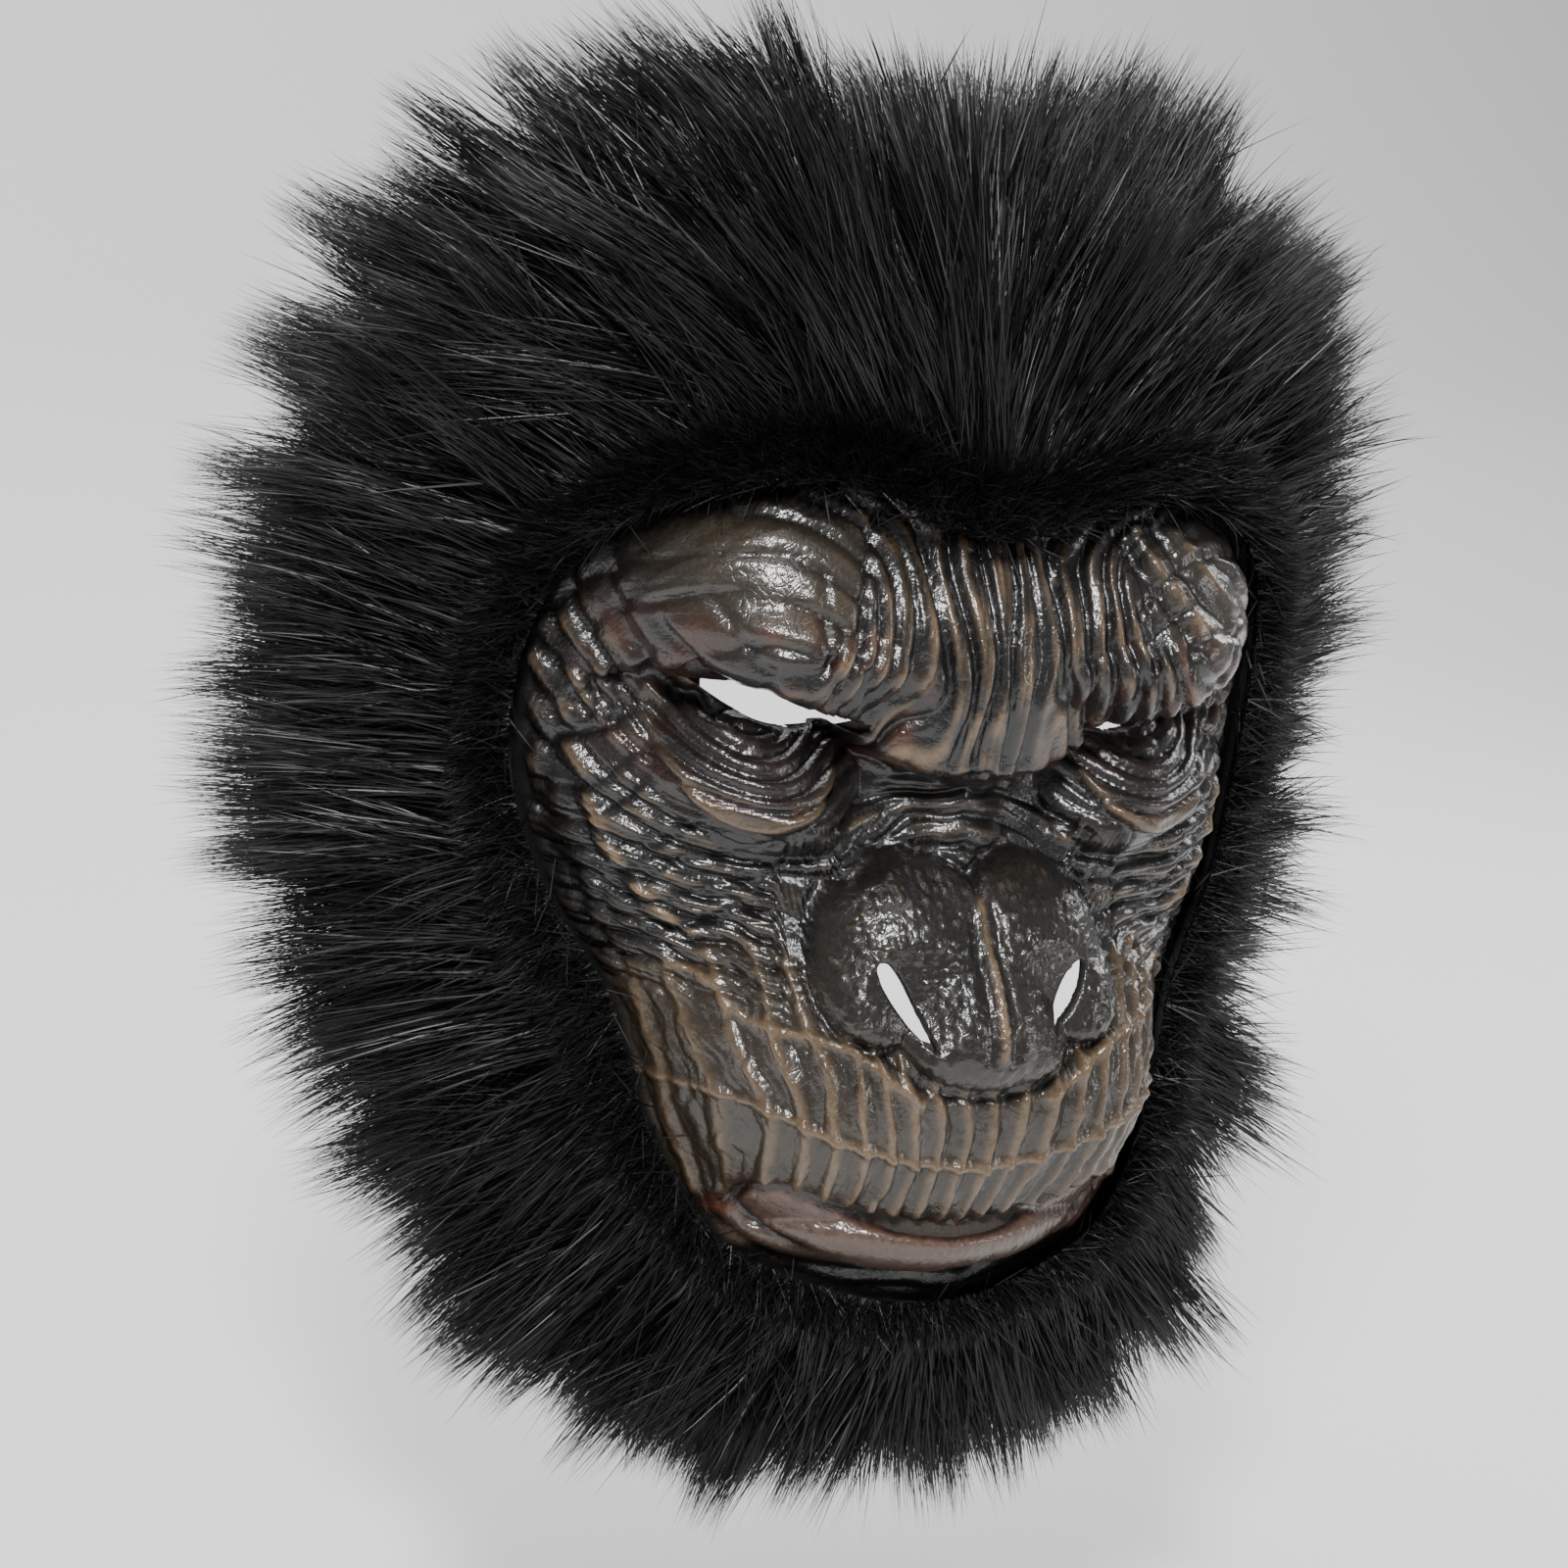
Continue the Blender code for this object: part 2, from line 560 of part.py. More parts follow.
def strap_sheet():
    """The strap's outer surface: sewn inside the ruff at both ends, and round the back of the head between."""
    eye_t = 4 / (len(SEAM) - 1)
    seam_length = float(np.linalg.norm(seam_point(eye_t + 0.05) - seam_point(eye_t - 0.05)) / 0.1)
    rows = []
    for w in np.linspace(1, -1, STRAP_COLUMNS + 1):
        t = np.full(4, eye_t - w * STRAP_WIDTH / 2 / seam_length)
        s = np.linspace(0.76, 1.0, 4)
        sewn = band_point(t, s)
        leave = unit(sewn[-1] - sewn[-2])
        back_y = seat()[1] + HEAD_LENGTH
        end = np.array([0, back_y, sewn[-1][2] + STRAP_RISE])
        u = np.linspace(0, 1, STRAP_STEPS)[1:, None]
        reach = 1.6 * (back_y - sewn[-1][1])
        arc = (
            (2 * u**3 - 3 * u**2 + 1) * sewn[-1]
            + (u**3 - 2 * u**2 + u) * leave * reach
            + (3 * u**2 - 2 * u**3) * end
            + (u**3 - u**2) * np.array([-1.66 * sewn[-1][0], 0, 0])
        )
        half = np.concatenate([sewn, arc])
        rows.append(np.concatenate([half, (half * [-1, 1, 1])[-2::-1]]))
    points = np.array(rows)
    index = np.arange(points.shape[0] * points.shape[1]).reshape(points.shape[:2])
    quads = np.stack([index[:-1, :-1], index[1:, :-1], index[1:, 1:], index[:-1, 1:]], axis=-1)
    return points.reshape(-1, 3), quads.reshape(-1, 4)


def make_strap(finish):
    """The elastic strap, its ends lying against the inside of the backing."""
    points, quads = strap_sheet()
    normals = vertex_normals(points, quads)
    return add_object("head_strap", *closed_shell(points, points - normals * STRAP_WALL, quads), finish)


def main():
    for old in list(bpy.data.objects):
        bpy.data.objects.remove(old)
    latex = material("painted latex", (0.045, 0.040, 0.034), 0.38)
    knit = material("knitted backing", (0.020, 0.020, 0.022), 0.90)
    pile = material("long pile", (0.010, 0.010, 0.012), 0.45)
    elastic = material("black elastic", (0.018, 0.018, 0.020), 0.80)
    make_face(latex)
    for name, side in (("right", -1), ("left", 1)):
        make_backing("backing_" + name, side, knit)
        make_fur("fur_" + name, side, pile)
    make_strap(elastic)


main()
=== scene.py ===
"""The gorilla mask as it looks: painted latex with its wrinkles, and the fur as fibres.

Metres, +Z up, -Y the way the face looks. The origin is the forehead seat, as in the frame. The face's own
tables, as in the part's source, count from the nose root, and seat() takes them to the frame's origin.
"""

import math

import bmesh
import bpy
import numpy as np
from mathutils import Matrix

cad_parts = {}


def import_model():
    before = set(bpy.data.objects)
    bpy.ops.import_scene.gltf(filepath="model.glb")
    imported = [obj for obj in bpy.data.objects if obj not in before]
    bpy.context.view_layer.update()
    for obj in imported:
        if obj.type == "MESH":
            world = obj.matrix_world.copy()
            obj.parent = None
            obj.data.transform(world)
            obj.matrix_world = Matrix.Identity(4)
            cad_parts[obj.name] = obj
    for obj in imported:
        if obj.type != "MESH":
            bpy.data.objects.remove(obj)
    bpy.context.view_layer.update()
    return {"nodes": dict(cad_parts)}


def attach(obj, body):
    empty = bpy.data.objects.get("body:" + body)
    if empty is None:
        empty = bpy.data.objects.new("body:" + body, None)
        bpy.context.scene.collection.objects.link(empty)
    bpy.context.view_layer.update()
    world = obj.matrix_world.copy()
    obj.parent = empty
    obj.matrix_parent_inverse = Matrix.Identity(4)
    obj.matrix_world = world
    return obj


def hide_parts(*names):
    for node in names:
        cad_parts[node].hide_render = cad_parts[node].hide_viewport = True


MM = 0.001

# Sizes of the part, as in its source.
FACE_HALF_WIDTH = 92 * MM
FACE_TOP = 104 * MM
FACE_BOTTOM = 88 * MM
EDGE_SETBACK = 37 * MM
RELIEF = 10.5 * MM
FACE_CENTRE_HEIGHT = 8.5 * MM
LATEX_WALL = 2.2 * MM
FLANGE_WIDTH = 8 * MM
EYE_SLIT_LENGTH = 37 * MM
EYE_SLIT_HEIGHT = 9 * MM
NOSTRIL_LENGTH = 21 * MM
NOSTRIL_WIDTH = 5 * MM
BAND_WIDTH = 70 * MM
BACKING_WALL = 1.6 * MM
ROOT_LAYER = 2.4 * MM
PILE_LENGTH = 64 * MM
FIT_GAP = 0.8 * MM
SEAM_GAP = 0.6 * MM
LEAST_LIFT = 0.27

# How finely the looks are divided.
FACE_CELLS = 270
INSIDE_CELLS = 90
FLANGE_RINGS = 4
STRANDS = 36000
UNDER_STRANDS = 20000
EDGE_STRANDS = 20000

SEAM_COLUMNS = (
    "across", "height", "back", "band_out", "band_back", "band_rise", "bulge",
    "comb_out", "comb_back", "comb_rise", "pile",
)
SEAM = (
    (0.00, 0.91, -0.11, 0.00, 0.72, 0.92, 0.13, 0.26, 0.60, 0.74, 0.92),
    (0.43, 1.00, 0.06, 0.06, 0.70, 0.78, 0.12, 0.54, 0.56, 0.62, 0.93),
    (0.80, 0.87, 0.51, 0.09, 0.69, 0.57, 0.08, 0.70, 0.52, 0.48, 0.96),
    (0.97, 0.63, 0.89, 0.07, 0.75, 0.37, 0.06, 0.79, 0.52, 0.32, 0.98),
    (1.00, 0.30, 1.00, 0.06, 0.80, 0.16, 0.05, 0.84, 0.52, 0.14, 1.00),
    (0.92, 0.02, 0.77, 0.07, 0.78, -0.08, 0.06, 0.85, 0.52, -0.08, 1.00),
    (0.77, -0.26, 0.43, 0.10, 0.70, -0.24, 0.07, 0.82, 0.46, -0.34, 0.97),
    (0.67, -0.60, 0.09, 0.10, 0.54, -0.28, 0.08, 0.72, 0.34, -0.62, 0.86),
    (0.47, -0.88, -0.26, 0.07, 0.40, -0.24, 0.10, 0.54, 0.20, -0.84, 0.74),
    (0.00, -1.00, -0.49, 0.00, 0.34, -0.20, 0.10, 0.28, 0.06, -0.96, 0.68),
)
ODD_COLUMNS = ("across", "band_out", "comb_out")
PROFILE = (
    (0.91, 0.11), (0.70, 0.34), (0.45, 0.40), (0.20, 0.36), (0.00, 0.45),
    (-0.30, 0.74), (-0.60, 0.88), (-0.85, 0.80), (-1.00, 0.49),
)
BROW_EDGE = (
    (0.00, 0.360, 0.75), (0.15, 0.370, 1.00), (0.28, 0.425, 1.40), (0.42, 0.510, 1.70),
    (0.56, 0.565, 1.60), (0.70, 0.585, 1.15), (0.83, 0.510, 0.50), (1.00, 0.360, 0.00),
)
DOMES = {
    "brow": (0.56, 0.72, 0.43, 0.28, -14, 1.65, 1.1),
    "brow_rim": (0.52, 0.60, 0.34, 0.10, -8, 0.55, 1.0),
    "brow_middle": (0.00, 0.60, 0.30, 0.30, 0, 0.95, 1.3),
    "eye_bag": (0.50, 0.320, 0.26, 0.170, -6, 1.10, 0.8),
    "cheekbone": (0.80, 0.22, 0.22, 0.28, 15, 0.40, 1.4),
    "nose_bridge": (0.00, 0.24, 0.13, 0.20, 0, 0.45, 1.3),
    "muzzle": (0.00, -0.36, 0.70, 0.44, 0, 0.95, 1.0),
    "muzzle_side": (0.40, -0.36, 0.34, 0.28, -20, 0.60, 1.1),
    "lower_lip": (0.00, -0.82, 0.50, 0.085, 0, 0.75, 0.8),
}
NOSE = {
    "lobe": (0.165, 0.000, 0.235, 0.165, 22, 1.10, 0.55),
    "wing": (0.270, -0.090, 0.135, 0.120, 8, 1.00, 0.55),
    "tip": (0.000, -0.130, 0.26, 0.170, 0, 1.22, 0.55),
}
NOSTRIL_HOLLOW = (0.215, -0.125, 0.110, 0.150, -35, -0.40, 1.0)

# Lines of the moulding in millimetres from the nose root (across, height), on one side; mirrored.
MOUTH_LINE = ((0, -65), (14, -64), (28, -61), (39, -58), (45, -59.5), (49, -66))
MUZZLE_RIDGE_1 = ((16, -31), (27, -24), (37, -20.5), (50, -19), (58, -12), (66, -13))
MUZZLE_RIDGE_2 = ((0, -48), (14, -46), (30, -41), (44, -38), (55, -37), (68, -40))
BAG_RIM = ((29, 43), (33, 33), (42, 26), (52, 24), (62, 28), (69, 39), (70, 49))
LIP_LOW = ((0, -81), (16, -79.5), (30, -75), (42, -68), (49, -60))
CREASES = (
    # half width and depth in millimetres, then the line
    (1.3, -1.5, ((29, 49), (34, 58), (36, 70), (33, 84), (27, 96))),
    (1.2, -1.2, ((30, 48), (40, 57), (45, 68), (44, 82))),
    (1.1, -1.1, ((31, 47), (46, 55), (58, 64), (66, 76))),
    (1.0, -0.8, ((33, 47), (50, 53), (66, 60), (77, 60))),
    (1.4, -1.2, ((37, 93), (55, 97), (72, 88), (83, 70))),
    (1.1, -1.0, ((36, 88), (54, 92), (70, 83), (80, 66))),
    (1.2, -1.2, ((72, 52), (80, 50), (87, 52))),
    (1.2, -1.2, ((71, 44), (79, 38), (87, 34))),
    (1.2, -1.1, ((69, 34), (75, 24), (83, 16))),
    (1.2, -1.2, ((12, 22), (28, 12), (46, 10), (66, 2))),
    (1.1, -1.2, ((14, 27), (30, 17), (50, 14), (72, 12))),
    (1.1, -1.0, ((16, 32), (26, 25), (34, 22))),
    (1.2, -1.1, ((34, 2), (48, 3), (62, -3), (74, -8))),
    (0.9, -0.8, ((4, 40), (12, 38), (22, 40))),
    (1.3, 1.3, ((85, 40), (81, 26), (77, 14), (69, 3), (59, -4))),
    (1.0, -0.9, ((88, 39), (84, 25), (80, 13), (72, 1), (60, -7))),
    (1.1, -0.9, ((60, 22), (70, 15), (79, 14))),
    (1.0, -0.8, ((62, 14), (70, 8), (76, 6))),
)
# the deeper folds across the mask's own left brow
LEFT_CREASES = (
    (1.5, -1.9, ((30, 96), (35, 84), (44, 73), (52, 66))),
    (1.3, -1.5, ((38, 97), (43, 87), (51, 78), (60, 71))),
    (1.3, -1.4, ((47, 98), (52, 90), (60, 83), (67, 79))),
    (1.2, 1.1, ((33, 97), (38, 86), (46, 77), (55, 69))),
    (1.2, -1.0, ((55, 98), (60, 93), (68, 88))),
    (1.1, 0.9, ((43, 97), (48, 88), (56, 80), (64, 75))),
)


def height_of(share):
    share = np.asarray(share, float)
    return np.where(share > 0, share * FACE_TOP, share * FACE_BOTTOM)


def along(values, t, odd=False):
    """A smooth curve through evenly spaced values at t from 0 to 1, mirrored past both ends (Catmull-Rom)."""
    t = np.asarray(t, float)
    sign = np.where(t < 0, -1.0, 1.0) * np.where(t > 1, -1.0, 1.0) if odd else 1.0
    t = np.abs(t)
    t = np.where(t > 1, 2 - t, t)
    flip = -1.0 if odd else 1.0
    padded = np.concatenate([[flip * values[1]], values, [flip * values[-2]]])
    place = t * (len(values) - 1)
    index = np.clip(np.floor(place).astype(int), 0, len(values) - 2)
    f = place - index
    a, b, c, d = (padded[index + k] for k in range(4))
    curve = b + 0.5 * f * (c - a + f * (2 * a - 5 * b + 4 * c - d + f * (3 * (b - c) + d - a)))
    return sign * curve


def seam_value(name, t):
    table = np.array(SEAM)[:, SEAM_COLUMNS.index(name)]
    return along(table, t, name in ODD_COLUMNS)


def seam_point(t):
    """The seam between latex and fur at t, from 0 at the top middle to 1 at the chin, on the +X side."""
    heights = height_of(np.array(SEAM)[:, 1])
    return np.stack(
        [seam_value("across", t) * FACE_HALF_WIDTH, seam_value("back", t) * EDGE_SETBACK, along(heights, t)],
        axis=-1,
    )


def unit(vectors):
    return vectors / np.maximum(np.linalg.norm(vectors, axis=-1, keepdims=True), 1e-12)


def band_point(t, s):
    """The ruff's innermost surface: t runs round the face and s from the seam (0) to the rear edge (1)."""
    start = seam_point(t)
    reach = BAND_WIDTH * np.stack([seam_value(n, t) for n in ("band_out", "band_back", "band_rise")], axis=-1)
    edge = seam_point(t + 1e-3) - seam_point(t - 1e-3)
    swell = unit(np.cross(edge, reach)) * BAND_WIDTH * seam_value("bulge", t)[..., None]
    s = np.asarray(s, float)[..., None]
    return start + reach * s + swell * np.sin(math.pi * s)


def band_normal(t, s):
    around = band_point(t + 1e-3, s) - band_point(t - 1e-3, s)
    back = band_point(t, s + 1e-3) - band_point(t, s - 1e-3)
    return unit(np.cross(around, back))


def comb(t, s):
    """The unit way that the pile lies at a root: the table's way, lifted clear of the cloth."""
    way = unit(np.stack([seam_value(n, t) for n in ("comb_out", "comb_back", "comb_rise")], axis=-1))
    normal = band_normal(t, s)
    lift = (way * normal).sum(-1, keepdims=True)
    return unit(way + normal * np.maximum(0.0, LEAST_LIFT - lift))


def seat():
    return seam_point(np.array(0.0)) + np.array([0.0, LATEX_WALL, 0.0])


def ease(f):
    f = np.clip(f, 0, 1)
    return f * f * (3 - 2 * f)


def dome(x, z, row):
    """How far one swelling rises at face places x, z: (1 - distance^2)^power inside its turned ellipse."""
    across, height, half_width, half_height, turn, forward, power = row
    angle = math.radians(turn)
    dx = (x - across * FACE_HALF_WIDTH) / (half_width * FACE_HALF_WIDTH)
    dz = (z - height_of(height)) / (half_height * FACE_TOP)
    ratio = half_width * FACE_HALF_WIDTH / (half_height * FACE_TOP)
    dx, dz = (
        dx * math.cos(angle) - dz / ratio * math.sin(angle),
        dx * ratio * math.sin(angle) + dz * math.cos(angle),
    )
    return forward * RELIEF * np.clip(1 - dx * dx - dz * dz, 0, None) ** power


def line_distance(x, z, line, smooth=True):
    """Distance in metres to a line given in millimetres, and the share of the way along it."""
    points = np.array(line, float) * MM
    if smooth and len(points) > 2:
        fine = np.linspace(0, 1, 8 * (len(points) - 1) + 1)
        ends = np.concatenate([[2 * points[0] - points[1]], points, [2 * points[-1] - points[-2]]])
        place = fine * (len(points) - 1)
        k = np.clip(np.floor(place).astype(int), 0, len(points) - 2)
        f = (place - k)[:, None]
        a, b, c, d = ends[k], ends[k + 1], ends[k + 2], ends[k + 3]
        points = b + 0.5 * f * (c - a + f * (2 * a - 5 * b + 4 * c - d + f * (3 * (b - c) + d - a)))
    best = np.full(x.shape, 1e9)
    share = np.zeros(x.shape)
    for k in range(len(points) - 1):
        (ax, az), (bx, bz) = points[k], points[k + 1]
        f = np.clip(((x - ax) * (bx - ax) + (z - az) * (bz - az)) / ((bx - ax) ** 2 + (bz - az) ** 2 + 1e-18), 0, 1)
        distance = np.hypot(x - ax - f * (bx - ax), z - az - f * (bz - az))
        nearer = distance < best
        best = np.where(nearer, distance, best)
        share = np.where(nearer, (k + f) / (len(points) - 1), share)
    return best, share


def stroke(x, z, line, half_width, depth, taper=True):
    """A crease or ridge along a line: a Gaussian across it that fades towards its ends."""
    distance, share = line_distance(x, z, line)
    ends = np.sin(math.pi * np.clip(share * 0.9 + 0.05, 0, 1)) ** 0.6 if taper else 1.0
    return depth * MM * ends * np.exp(-((distance / (half_width * MM)) ** 2))


def value_noise(x, z, scale, seed):
    """Smooth noise from -1 to 1: random values on a square grid of the given cell size, blended."""
    table = np.random.default_rng(seed).uniform(-1, 1, (256, 256))
    u, v = x / scale + 1000.37, z / scale + 1000.71
    i, j = np.floor(u).astype(int), np.floor(v).astype(int)
    f, g = ease(u - i), ease(v - j)
    i0, i1, j0, j1 = i % 256, (i + 1) % 256, j % 256, (j + 1) % 256
    low = table[i0, j0] * (1 - f) + table[i1, j0] * f
    high = table[i0, j1] * (1 - f) + table[i1, j1] * f
    return low * (1 - g) + high * g


def furrows(u, sharp=2.2):
    """A train of wrinkles along u: rounded ridges one unit apart with narrow furrows between, from -1 to 0.35."""
    saw = np.abs((u % 1.0) * 2 - 1)
    return 0.35 - 1.35 * saw**sharp


def socket(x, z):
    """The eye sockets and the hollow under the brow: how deep they are, and how far the brow hangs over."""
    table = np.array(BROW_EDGE)
    edge = np.interp(x, table[:, 0] * FACE_HALF_WIDTH, table[:, 1] * FACE_TOP)
    depth = np.interp(x, table[:, 0] * FACE_HALF_WIDTH, table[:, 2] * RELIEF)
    below = edge - z
    hollow = depth * ease(below / (0.5 * RELIEF) + 0.5) * (1 - ease((below - 0.6 * RELIEF) / (2.6 * RELIEF)))
    return hollow, 0.25 * depth * np.exp(-((below / (0.55 * RELIEF)) ** 2))


def main_relief(x, z):
    """The large forms, at |x| and z."""
    hollow, overhang = socket(x, z)
    rise = sum(dome(x, z, row) for row in DOMES.values()) - hollow
    nose = np.max([dome(x, z, row) for row in NOSE.values()], axis=0)
    return rise + nose + dome(x, z, NOSTRIL_HOLLOW), overhang


def face_point(p, q):
    """The latex's outer surface at disc coordinates p, q, and its face places |x|, z."""
    radius = np.hypot(p, q)
    rim = seam_point(np.arctan2(np.abs(p), q) / math.pi)
    x = radius * rim[..., 0]
    z = FACE_CENTRE_HEIGHT + radius * (rim[..., 2] - FACE_CENTRE_HEIGHT)
    profile = np.array(PROFILE)[::-1]
    spread = np.linspace(0, 1, 200)
    heights, fronts = height_of(profile[:, 0]), -EDGE_SETBACK * profile[:, 1]
    front = np.interp(z, along(heights, spread), along(fronts, spread))
    turned = (1 - np.sqrt(1 - (0.93 * radius) ** 2)) / (1 - math.sqrt(1 - 0.93**2))
    y = front * (1 - turned) + rim[..., 1] * turned
    rise, overhang = main_relief(x, z)
    fade = ease((1 - radius) / 0.10)
    return np.stack([np.sign(p) * x, y - rise * fade, z - overhang * fade], axis=-1), x, z, radius


def ellipse(x, z, cx, cz, rx, rz, turn=0.0):
    """Distance from an ellipse's middle, 1 on its outline; lengths in millimetres, turn in degrees."""
    a = math.radians(turn)
    dx, dz = x - cx * MM, z - cz * MM
    u, v = dx * math.cos(a) + dz * math.sin(a), dz * math.cos(a) - dx * math.sin(a)
    return np.hypot(u / (rx * MM), v / (rz * MM))


def nose_mask(x, z):
    """1 on the heart-shaped nose pad, 0 off it."""
    lobes = np.minimum(ellipse(x, z, 16.4, 0.3, 20.0, 16.6, -22), ellipse(x, z, 24.8, -8, 12.4, 12.5, 0))
    lobes = np.minimum(lobes, ellipse(x, z, 0, -11.5, 24, 18))
    return lobes


def mouth_height(x):
    line = np.array(MOUTH_LINE) * MM
    return np.interp(x, line[:, 0], line[:, 1])


def detail(sx, x, z, radius):
    """The small forms in metres above the main ones, and the masks that the paint uses.

    sx is the signed place across, so that left and right differ a little as hand-modelled clay does."""
    warp = value_noise(sx, z, 14 * MM, 5)
    fine = value_noise(sx, z, 4.5 * MM, 6)
    tiny = value_noise(sx, z, 1.6 * MM, 7)
    pad = nose_mask(x, z)
    on_nose = ease((1.06 - pad) / 0.12)
    brow = ellipse(x, z, 55, 79, 24, 14.5, -12)
    eye = ellipse(x, z, 50, 50, 22, 15, 8)
    # wrinkles round the brows: rings about each dome, upright between the brows
    above = ease((z - 36 * MM) / (10 * MM))
    ring_mask = ease((brow - 0.85) / 0.35) * above
    slow = value_noise(sx, z, 26 * MM, 9)
    drift = value_noise(sx, 0.45 * z, 7 * MM, 8)
    middle_share = ease((24 * MM - x) / (14 * MM))
    squeeze = np.where(z > 80 * MM, 1.0, 0.42)
    around = np.hypot((x - 55 * MM) / (23 * MM), (z - 80 * MM) * squeeze / (13.5 * MM))
    lane = around * 4.7 * (1 - middle_share) + (6.3 - (x - 24 * MM) / (5.6 * MM)) * middle_share
    ring = furrows(lane + 0.50 * slow + 0.30 * drift + 0.16 * warp * (1 - middle_share), 2.4)
    rise = 2.1 * MM * ring * ring_mask * (0.85 + 0.15 * fine)
    # short wrinkles that break the rings
    breaks = furrows(lane * 2.3 + 0.6 * slow + 0.7 * drift, 3)
    rise += 0.40 * MM * breaks * ring_mask
    # the smooth domes still have faint creases
    dome_mask = above * (1 - ring_mask) * ease((brow - 0.15) / 0.3)
    bow = np.hypot((x - 57 * MM) / (30 * MM), (z - 47 * MM) / (33 * MM))
    rise += 1.15 * MM * furrows(bow * 4.4 + 0.45 * slow + 0.12 * warp, 4.0) * dome_mask
    rise += 0.25 * MM * furrows(bow * 10 + 0.8 * slow + 0.5 * drift, 4.0) * dome_mask
    # folds round the eye: the bag, then the cheek
    low = ease((49 * MM - z + (x - 30 * MM) * 0.15) / (8 * MM))
    bag_mask = low * ease((1.75 - eye) / 0.2) * ease((x - 24 * MM) / (5 * MM))
    rise += 1.35 * MM * furrows(eye * 4.2 + 0.30 * slow + 0.16 * warp, 2.6) * bag_mask
    outside = ease((eye - 1.7) / 0.25)
    cheek_mask = low * outside * ease((z + 20 * MM + 0.2 * (x - 40 * MM)) / (12 * MM)) * (1 - on_nose)
    sweep = (z + 0.30 * x) / (6.4 * MM)
    near_nose = ease((44 * MM - x) / (16 * MM))
    cheek_lane = eye * 2.9 * (1 - near_nose) - sweep * near_nose
    rise += 1.45 * MM * furrows(cheek_lane + 0.75 * slow + 0.35 * drift + 0.2 * warp, 2.6) * cheek_mask
    rise += 0.40 * MM * furrows(cheek_lane * 2.4 + 0.9 * warp, 3) * cheek_mask
    # crow's feet: spokes from the eye, crossing the rings
    angle = np.arctan2(z - 44 * MM, x - 46 * MM)
    spoke_mask = ease((x - 62 * MM) / (8 * MM)) * ease((z + 8 * MM) / (12 * MM)) * ease((70 * MM - z) / (12 * MM))
    rise += 0.75 * MM * furrows(angle * 2.2 + 0.55 * slow + 0.3 * warp, 3.4) * spoke_mask
    # the side of the face: fine upright wrinkles
    side_mask = ease((radius - 0.86) / 0.08)
    rise += 0.8 * MM * furrows(radius * 20 + 0.5 * slow + 0.3 * drift) * side_mask
    for half_width, depth, line in CREASES:
        rise += stroke(x + 0.8 * MM * warp, z + 0.8 * MM * fine, line, half_width, depth)
    for half_width, depth, line in LEFT_CREASES:
        rise += (sx > 0) * stroke(x + 0.8 * MM * warp, z + 0.8 * MM * fine, line, half_width, depth)
    # the rim ridge of the bag
    rim = stroke(x, z, BAG_RIM, 1.4, 1.7)
    rise += rim - stroke(x, z, tuple((a * 1.0, b - 3.2) for a, b in BAG_RIM), 1.3, 0.9)
    # muzzle: upright ridges that fan out, crossed by two wavy ones
    ridge_1, _ = line_distance(x, z + 0.9 * MM * warp, MUZZLE_RIDGE_1)
    ridge_2, _ = line_distance(x, z + 0.9 * MM * warp, MUZZLE_RIDGE_2)
    top = np.interp(x, (0, 16 * MM, 37 * MM, 52 * MM, 66 * MM), (-28 * MM, -20 * MM, -4 * MM, -2 * MM, -12 * MM))
    mouth = mouth_height(x)
    muzzle_mask = (
        ease((top - z) / (4 * MM)) * ease((z - mouth) / (2.5 * MM)) * (1 - on_nose) * ease((74 * MM - x) / (6 * MM))
    )
    fan = sx * (1 + 0.0050 * (-20 * MM - z) / MM) / (6.9 * MM) + 0.40 * slow + 0.26 * warp + 0.5
    spine = np.abs((fan % 1.0) - 0.5) * 2
    uprights = np.exp(-(((1 - spine) / 0.34) ** 2))
    tall = 1 - 0.5 * ease((x - 42 * MM) / (18 * MM))
    rise += muzzle_mask * tall * (1.7 * MM * uprights * (0.8 + 0.3 * fine) - 0.4 * MM * (1 - spine) ** 2)
    rise += muzzle_mask * 0.45 * MM * furrows(fan * 3 + 0.7 * fine, 3)
    crossing = np.exp(-((ridge_1 / (1.2 * MM)) ** 2)) + np.exp(-((ridge_2 / (1.1 * MM)) ** 2))
    rise += muzzle_mask * tall * 1.5 * MM * crossing
    # the mouth: a deep line under the upper lip, and the lower lip's fine upright lines
    mouth_distance, mouth_share = line_distance(x, z, MOUTH_LINE)
    rise -= 3.2 * MM * np.exp(-((mouth_distance / (1.5 * MM)) ** 2)) * (1 - 0.5 * mouth_share)
    lip_mask = ease((mouth - z) / (1.5 * MM)) * ease((z - mouth + 18 * MM) / (3 * MM)) * ease((50 * MM - x) / (5 * MM))
    rise += lip_mask * 0.16 * MM * furrows(sx / (2.3 * MM) + 0.5 * fine, 3)
    rise += stroke(x, z, LIP_LOW, 2.0, -1.3)
